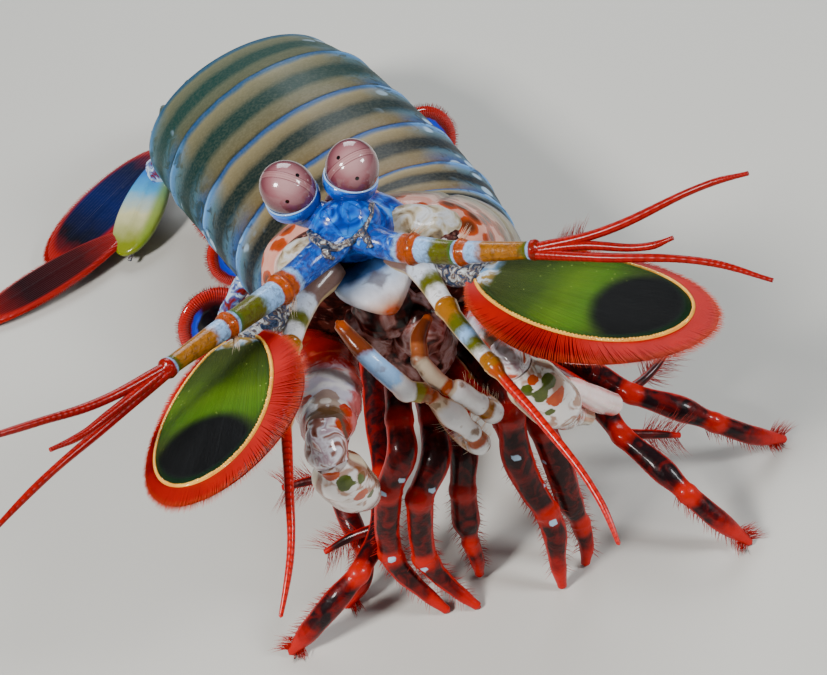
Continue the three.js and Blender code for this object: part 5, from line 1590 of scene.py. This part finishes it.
swimmeret = {
    "spread": (9.5, 10.5, 12.0, 11.0, 8.6),
    "wide": {"right": 2, "left": 3},
    "further": {"right": 7.4, "left": 6.4},
    "paddle": 4.7,
    "bigPaddle": 5.3,
    "thickness": 0.8,
    "setae": 150,
    "gills": 70,
}


def paddlePaint(name, rim, core, arc):
    p = Paint(name, Coat_Weight=0.7, Coat_Roughness=0.1)
    reach = p.value("reach") + (p.noise(1.2) - 0.5) * 0.12
    ly = p.value("ly")
    colour = p.ramp(reach, [(0.0, core), (0.52, core), (0.66, rgb(90, 10, 12)), (0.86, rim)])
    blueArc = p.step(abs(reach - 0.6), 0.11, 0.05) * p.step(ly, 0.15, 0.4)
    colour = p.mix(blueArc, colour, arc)
    rays = ly.arctan2(p.value("lx"))
    lines = (rays * 90).sine()
    return p.finish(colour, 0.3, lines * p.step(reach, 0.6, 0.8) + p.noise(0.7), 0.06)


def stalkPaint():
    p = Paint("swimmeretStalk", Coat_Weight=0.6)
    mottle = p.noise(1.4, 3, 0.5, 1.0)
    colour = p.ramp(mottle, [(0.38, rgb(120, 20, 16)), (0.48, rgb(60, 90, 160)), (0.58, rgb(190, 210, 235))])
    return p.finish(colour, 0.3, mottle, 0.12)


def gillPaint():
    p = Paint("gillFilaments", Roughness=0.4, Subsurface_Weight=0.2, Subsurface_Scale=0.001)
    return p.finish(p.mix(p.value("tip"), rgb(190, 60, 50), rgb(236, 190, 180)))


def dished(x, y, reach):
    # rings of low waves
    return 0.18 * np.sin(reach * 9)


paddleFinish = paddlePaint("swimmeretPaddle", rgb(196, 30, 22), rgb(6, 6, 14), rgb(16, 70, 255))
stalkFinish = stalkPaint()
gillFinish = gillPaint()
for index, spread in enumerate(swimmeret["spread"]):
    station = stationRows(stations[index + 3:index + 5], np.array([0.55]))
    centre = station["c"][0]
    left = station["left"][0]
    t = unit(station["t"][0])
    for side, sign in (("right", -1), ("left", 1)):
        far = index == swimmeret["wide"][side]
        out = sign * (spread + (swimmeret["further"][side] if far else 0))
        size = swimmeret["bigPaddle"] if far else swimmeret["paddle"]
        top = centre + left * sign * 6.5 + np.array([0, 0, -1.6])
        hub = centre + left * out
        hub[2] = 7.6 if far and side == "left" else max(size - 0.5, 4.3)
        hub = hub + t * (-0.6 if far else 0.4)
        knee = top + (hub - top) * 0.45 + np.array([0, 0, 1.0])
        stalk = drawLimb("swimmeret_stalk_" + str(index + 1) + "_" + side,
                         [[*top, 1.5], [*knee, 1.3], [*hub, 0.9]], sides=6, steps=8)
        across = left * sign
        across[2] = 0
        name = "swimmeret_" + str(index + 1) + "_" + side
        along = np.array([-t[0] * 0.2, -t[1] * 0.2, -1])
        paddleEdge = egg(size * 1.88, size * 1.88)
        paddle = drawVane(name, hub, along, across, paddleEdge, swimmeret["thickness"], rings=18, columns=90,
                          relief=dished)
        dress(paddle, paddleFinish, "limb_red", "pleopod_" + str(index + 1) + "_" + side)
        dress(stalk, stalkFinish, "limb_red")
        a, b, normal = plateFrame(along, across)
        draw = random.Random(100 + index * 2 + (sign > 0))
        rows = []
        for k in range(swimmeret["setae"]):
            angle = 2 * math.pi * (k + draw.random() * 0.5) / swimmeret["setae"]
            x, y = paddleEdge(angle)
            outward = a * math.cos(angle) + b * math.sin(angle)
            if (hub + outward * (size + 0.5))[2] < 0.1:
                continue
            root = hub + a * x * 0.97 + b * y * 0.97
            rows.append((root, outward, draw.uniform(0.5, 0.8), np.zeros(3), roundMap(angle)))
        fringe = bristles(name + "_setae", rows, 0.07)
        dress(fringe, hairFinish, "limb_red")
        rows = []
        for k in range(swimmeret["gills"]):
            share = draw.random()
            root = top + (hub - top) * share + np.array([draw.uniform(-0.5, 0.5) for n in range(3)])
            head = (draw.uniform(-1, 1), draw.uniform(-1, 1), draw.uniform(-1.6, 0.2))
            rows.append((root, head, draw.uniform(1.2, 2.2), (0, 0, -0.4), (0.1 + 0.8 * share, 0.5)))
        gills = bristles(name + "_gills", rows, 0.12)
        dress(gills, gillFinish, "limb_red")

print("tail fan")

telson = {
    "base": (-10.6, 80.4, 7.8),
    "tip": (-13.4, 98.6, 1.35),
    "across": (0.95, 0.27, 0.03),
    "length": 19,
    "width": 19,
}
tailSetae = 300  # along the rim of each blade
uropods = {
    "right": {
        "root": [[-15.5, 75.2, 8.6, 2.6], [-20.5, 75.5, 7.8, 2.4], [-23.5, 77.0, 6.2, 2.0]],
        "exopod": [(-22.3, 79.3, 6.4), (-30.6, 66.4, 1.7), 7.2, (1, 0.55, 0.35)],
        "tip": [(-29.4, 70.2, 2.6), (-51.5, 62.6, 0.85), 6.6, (0.3, 1, 0.1)],
        "endopod": [(-22.4, 83.0, 5.6), (-40.6, 70.0, 1.6), 9.0, (0.6, 1, 0.25)],
        "spine": [[-23.4, 76.2, 5.0, 1.0], [-28.0, 70.0, 2.6, 0.8], [-29.9, 65.6, 1.3, 0.3]],
    },
    "left": {
        "root": [[-4.4, 78.5, 8.4, 2.4], [-0.6, 80.0, 7.4, 2.3], [1.4, 81.6, 5.8, 2.0]],
        "exopod": [(0.6, 79.8, 6.4), (4.4, 89.6, 2.4), 6.4, (1, -0.4, 0)],
        "tip": [(3.0, 86.8, 3.4), (5.0, 100.0, 0.85), 6.0, (1, -0.2, 0)],
        "endopod": [(-0.4, 80.8, 5.0), (-1.8, 96.4, 1.3), 6.0, (1, 0, 0)],
        "spine": [[2.4, 81.4, 5.0, 1.0], [5.8, 86.8, 2.9, 0.7], [7.2, 90.6, 1.2, 0.3]],
    },
}


def telsonPaint():
    p = Paint("telsonPlate", Coat_Weight=0.5, Coat_Roughness=0.15)
    lx = p.value("lx")
    mottle = p.noise(2.2, 4, 0.6, 1.2)
    colour = p.ramp(mottle, [(0.3, rgb(14, 40, 30)), (0.45, rgb(40, 84, 40)), (0.58, rgb(110, 122, 50)),
                             (0.7, rgb(160, 140, 90))])
    colour = p.mix(p.step(p.value("reach"), 0.86, 0.98) * 0.8, colour, rgb(180, 40, 26))
    colour = p.mix(p.step(p.cells(3.6), 0.3, 0.2) * p.step(lx, 0.4, -0.2), colour, rgb(70, 140, 210))
    return p.finish(colour, 0.35, mottle + p.noise(0.5, 3) * 0.5, 0.14)


def tailPaint(name, stops):
    p = Paint(name, Coat_Weight=0.7, Coat_Roughness=0.1)
    lx = p.value("lx") + (p.noise(1.8, 3) - 0.5) * 0.28
    colour = p.ramp(lx * 0.5 + 0.5, stops)
    rim = p.step(p.value("reach"), 0.8, 0.95)
    colour = p.mix(rim * 0.85, colour, rgb(160, 22, 18))
    rays = (p.value("ly") * 60).sine()
    return p.finish(colour, 0.3, rays * 0.3 + p.noise(0.6, 3), 0.08)


def plainTailPaint(name, stops, edgeColour):
    p = Paint(name, Coat_Weight=0.7, Coat_Roughness=0.1)
    lx = p.value("lx") + (p.noise(1.8, 3) - 0.5) * 0.3
    colour = p.ramp(lx * 0.5 + 0.5, stops)
    colour = p.mix(p.step(p.value("ly"), 0.35, 0.8) * 0.8, colour, edgeColour)
    return p.finish(colour, 0.3, p.noise(0.8, 3), 0.12)


def telsonEdge(angle):
    # rounded square with teeth along its hind rim
    c = math.cos(angle)
    s = math.sin(angle)
    square = (abs(c) ** 3.2 + abs(s) ** 3.2) ** (-1 / 3.2)
    teeth = 0.93 + 0.07 * max(0, math.cos(angle * 10)) ** 3 if c > -0.35 else 0.97
    narrow = 1 - 0.22 * c * square if c > 0 else 1 + 0.05 * c
    return telson["length"] / 2 * c * square * teeth, telson["width"] / 2 * s * square * teeth * narrow


def telsonRelief(x, y, reach):
    # a high middle keel between two lower ridges on each side
    ridges = sum(0.55 * np.exp(-((y - spot) / 0.035) ** 2) for spot in (-0.66, -0.33, 0.33, 0.66))
    middle = 1.5 * np.exp(-(y / 0.07) ** 2)
    return 0.8 * (1 - reach ** 2) + (ridges + middle) * np.clip(1.1 - reach, 0, 1) * 1.2


def keeled(x, y, reach):
    # one low rib along the middle
    return 0.25 * np.exp(-(y / 0.08) ** 2) * (1 - reach)


telsonMiddle = (np.array(telson["base"]) + np.array(telson["tip"])) / 2
telsonAlong = np.array(telson["tip"]) - np.array(telson["base"])
plate = drawVane("telson_plate", telsonMiddle, telsonAlong, telson["across"], telsonEdge, 1.6, camber=0.02,
                 rings=44, columns=240, relief=telsonRelief)
dress(plate, telsonPaint(), "body_shell", "telson")

exopodFinish = plainTailPaint("uropodShoulder", [(0.1, rgb(6, 70, 180)), (0.35, rgb(70, 160, 210)),
                                                 (0.6, rgb(200, 196, 150)), (0.9, rgb(120, 130, 20))],
                              rgb(110, 140, 10))
tipFinish = tailPaint("uropodPaddle", [(0.0, rgb(150, 20, 16)), (0.3, rgb(60, 6, 10)), (0.7, rgb(30, 4, 10)),
                                       (1.0, rgb(120, 14, 12))])
endopodFinish = tailPaint("uropodBlade", [(0.0, rgb(120, 20, 20)), (0.2, rgb(16, 20, 50)),
                                          (0.5, rgb(10, 24, 80)), (0.8, rgb(8, 8, 20)),
                                          (1.0, rgb(120, 14, 16))])
for side, data in uropods.items():
    root = drawLimb("uropod_root_" + side, data["root"], sides=9, steps=10)
    dress(root, stalkFinish, "limb_red", "uropod_" + side)
    for part, material, thickness in (("exopod", exopodFinish, 1.5), ("tip", tipFinish, 1.0),
                                      ("endopod", endopodFinish, 1.0)):
        start, end, width, across = data[part]
        start = np.array(start)
        end = np.array(end)
        shape = egg(np.linalg.norm(end - start), width, 0.12)
        blade = drawVane("uropod_" + part + "_" + side, (start + end) / 2, end - start, across, shape,
                         thickness, rings=20, columns=100, relief=keeled)
        dress(blade, material, "limb_red")
        if part == "exopod":
            continue
        a, b, normal = plateFrame(end - start, across)
        draw = random.Random(200 + len(part) + (side == "left"))
        rows = []
        for k in range(tailSetae):
            angle = math.pi * (-0.86 + 1.72 * (k + draw.random() * 0.5) / tailSetae)
            x, y = shape(angle)
            size = math.hypot(x, y)
            reach = 1.3 * (0.35 + 0.65 * max(0, math.cos(angle / 2)) ** 2)
            spot = (start + end) / 2 + a * x * 0.98 + b * y * 0.98
            outward = a * x / size + b * y / size
            if (spot + outward * reach)[2] < 0.1:
                outward = outward + np.array([0, 0, 0.5])
            rows.append((spot, outward + a * 0.2, reach * draw.uniform(0.8, 1.0), a * 0.1, roundMap(angle)))
        fringe = bristles("uropod_" + part + "_setae_" + side, rows, 0.07)
        dress(fringe, hairFinish, "limb_red")
    spine = drawLimb("uropod_spine_" + side, data["spine"], sides=6, steps=8)
    dress(spine, ridgeFinish, "limb_red")

print("camera, light and floor")

camera = bpy.data.objects.new("Camera", bpy.data.cameras.new("Camera"))
bpy.context.scene.collection.objects.link(camera)
camera.data.sensor_fit = "HORIZONTAL"
camera.data.sensor_width = view["sensor"]
camera.data.lens = view["focal"]
camera.data.clip_start = 0.001
camera.data.clip_end = 10
turn = Matrix((cameraRight, cameraUp, toCamera)).transposed().to_4x4()
camera.matrix_world = Matrix.Translation(place(*view["place"])) @ turn
bpy.context.scene.camera = camera

floorFinish = Paint("floor", Roughness=0.8).finish(rgb(196, 194, 188))
bpy.ops.object.select_all(action="DESELECT")
bpy.ops.mesh.primitive_plane_add(size=4, location=(0, 0, -0.0001))
floor = bpy.context.object
floor.name = "floor"
floor.data.materials.append(floorFinish)

lamps = [
    {"name": "key", "spot": (-260, -170, 330), "size": 0.09, "power": 2.6, "colour": (1, 0.98, 0.95)},
    {"name": "fill", "spot": (300, -150, 250), "size": 0.09, "power": 1.2, "colour": (0.95, 0.98, 1)},
    {"name": "back", "spot": (60, 300, 280), "size": 0.2, "power": 1.0, "colour": (0.9, 0.96, 1)},
]
for lamp in lamps:
    light = bpy.data.objects.new(lamp["name"], bpy.data.lights.new(lamp["name"], "AREA"))
    light.data.size = lamp["size"]
    light.data.energy = lamp["power"]
    light.data.color = lamp["colour"]
    light.location = place(*lamp["spot"])
    aim = place(0, 10, 25) - light.location
    light.rotation_euler = aim.to_track_quat("-Z", "Y").to_euler()
    bpy.context.scene.collection.objects.link(light)
world = bpy.data.worlds.new("studio")
bpy.context.scene.world = world
world.use_nodes = True
world.node_tree.nodes["Background"].inputs[0].default_value = (0.75, 0.8, 0.86, 1)
world.node_tree.nodes["Background"].inputs[1].default_value = 0.17
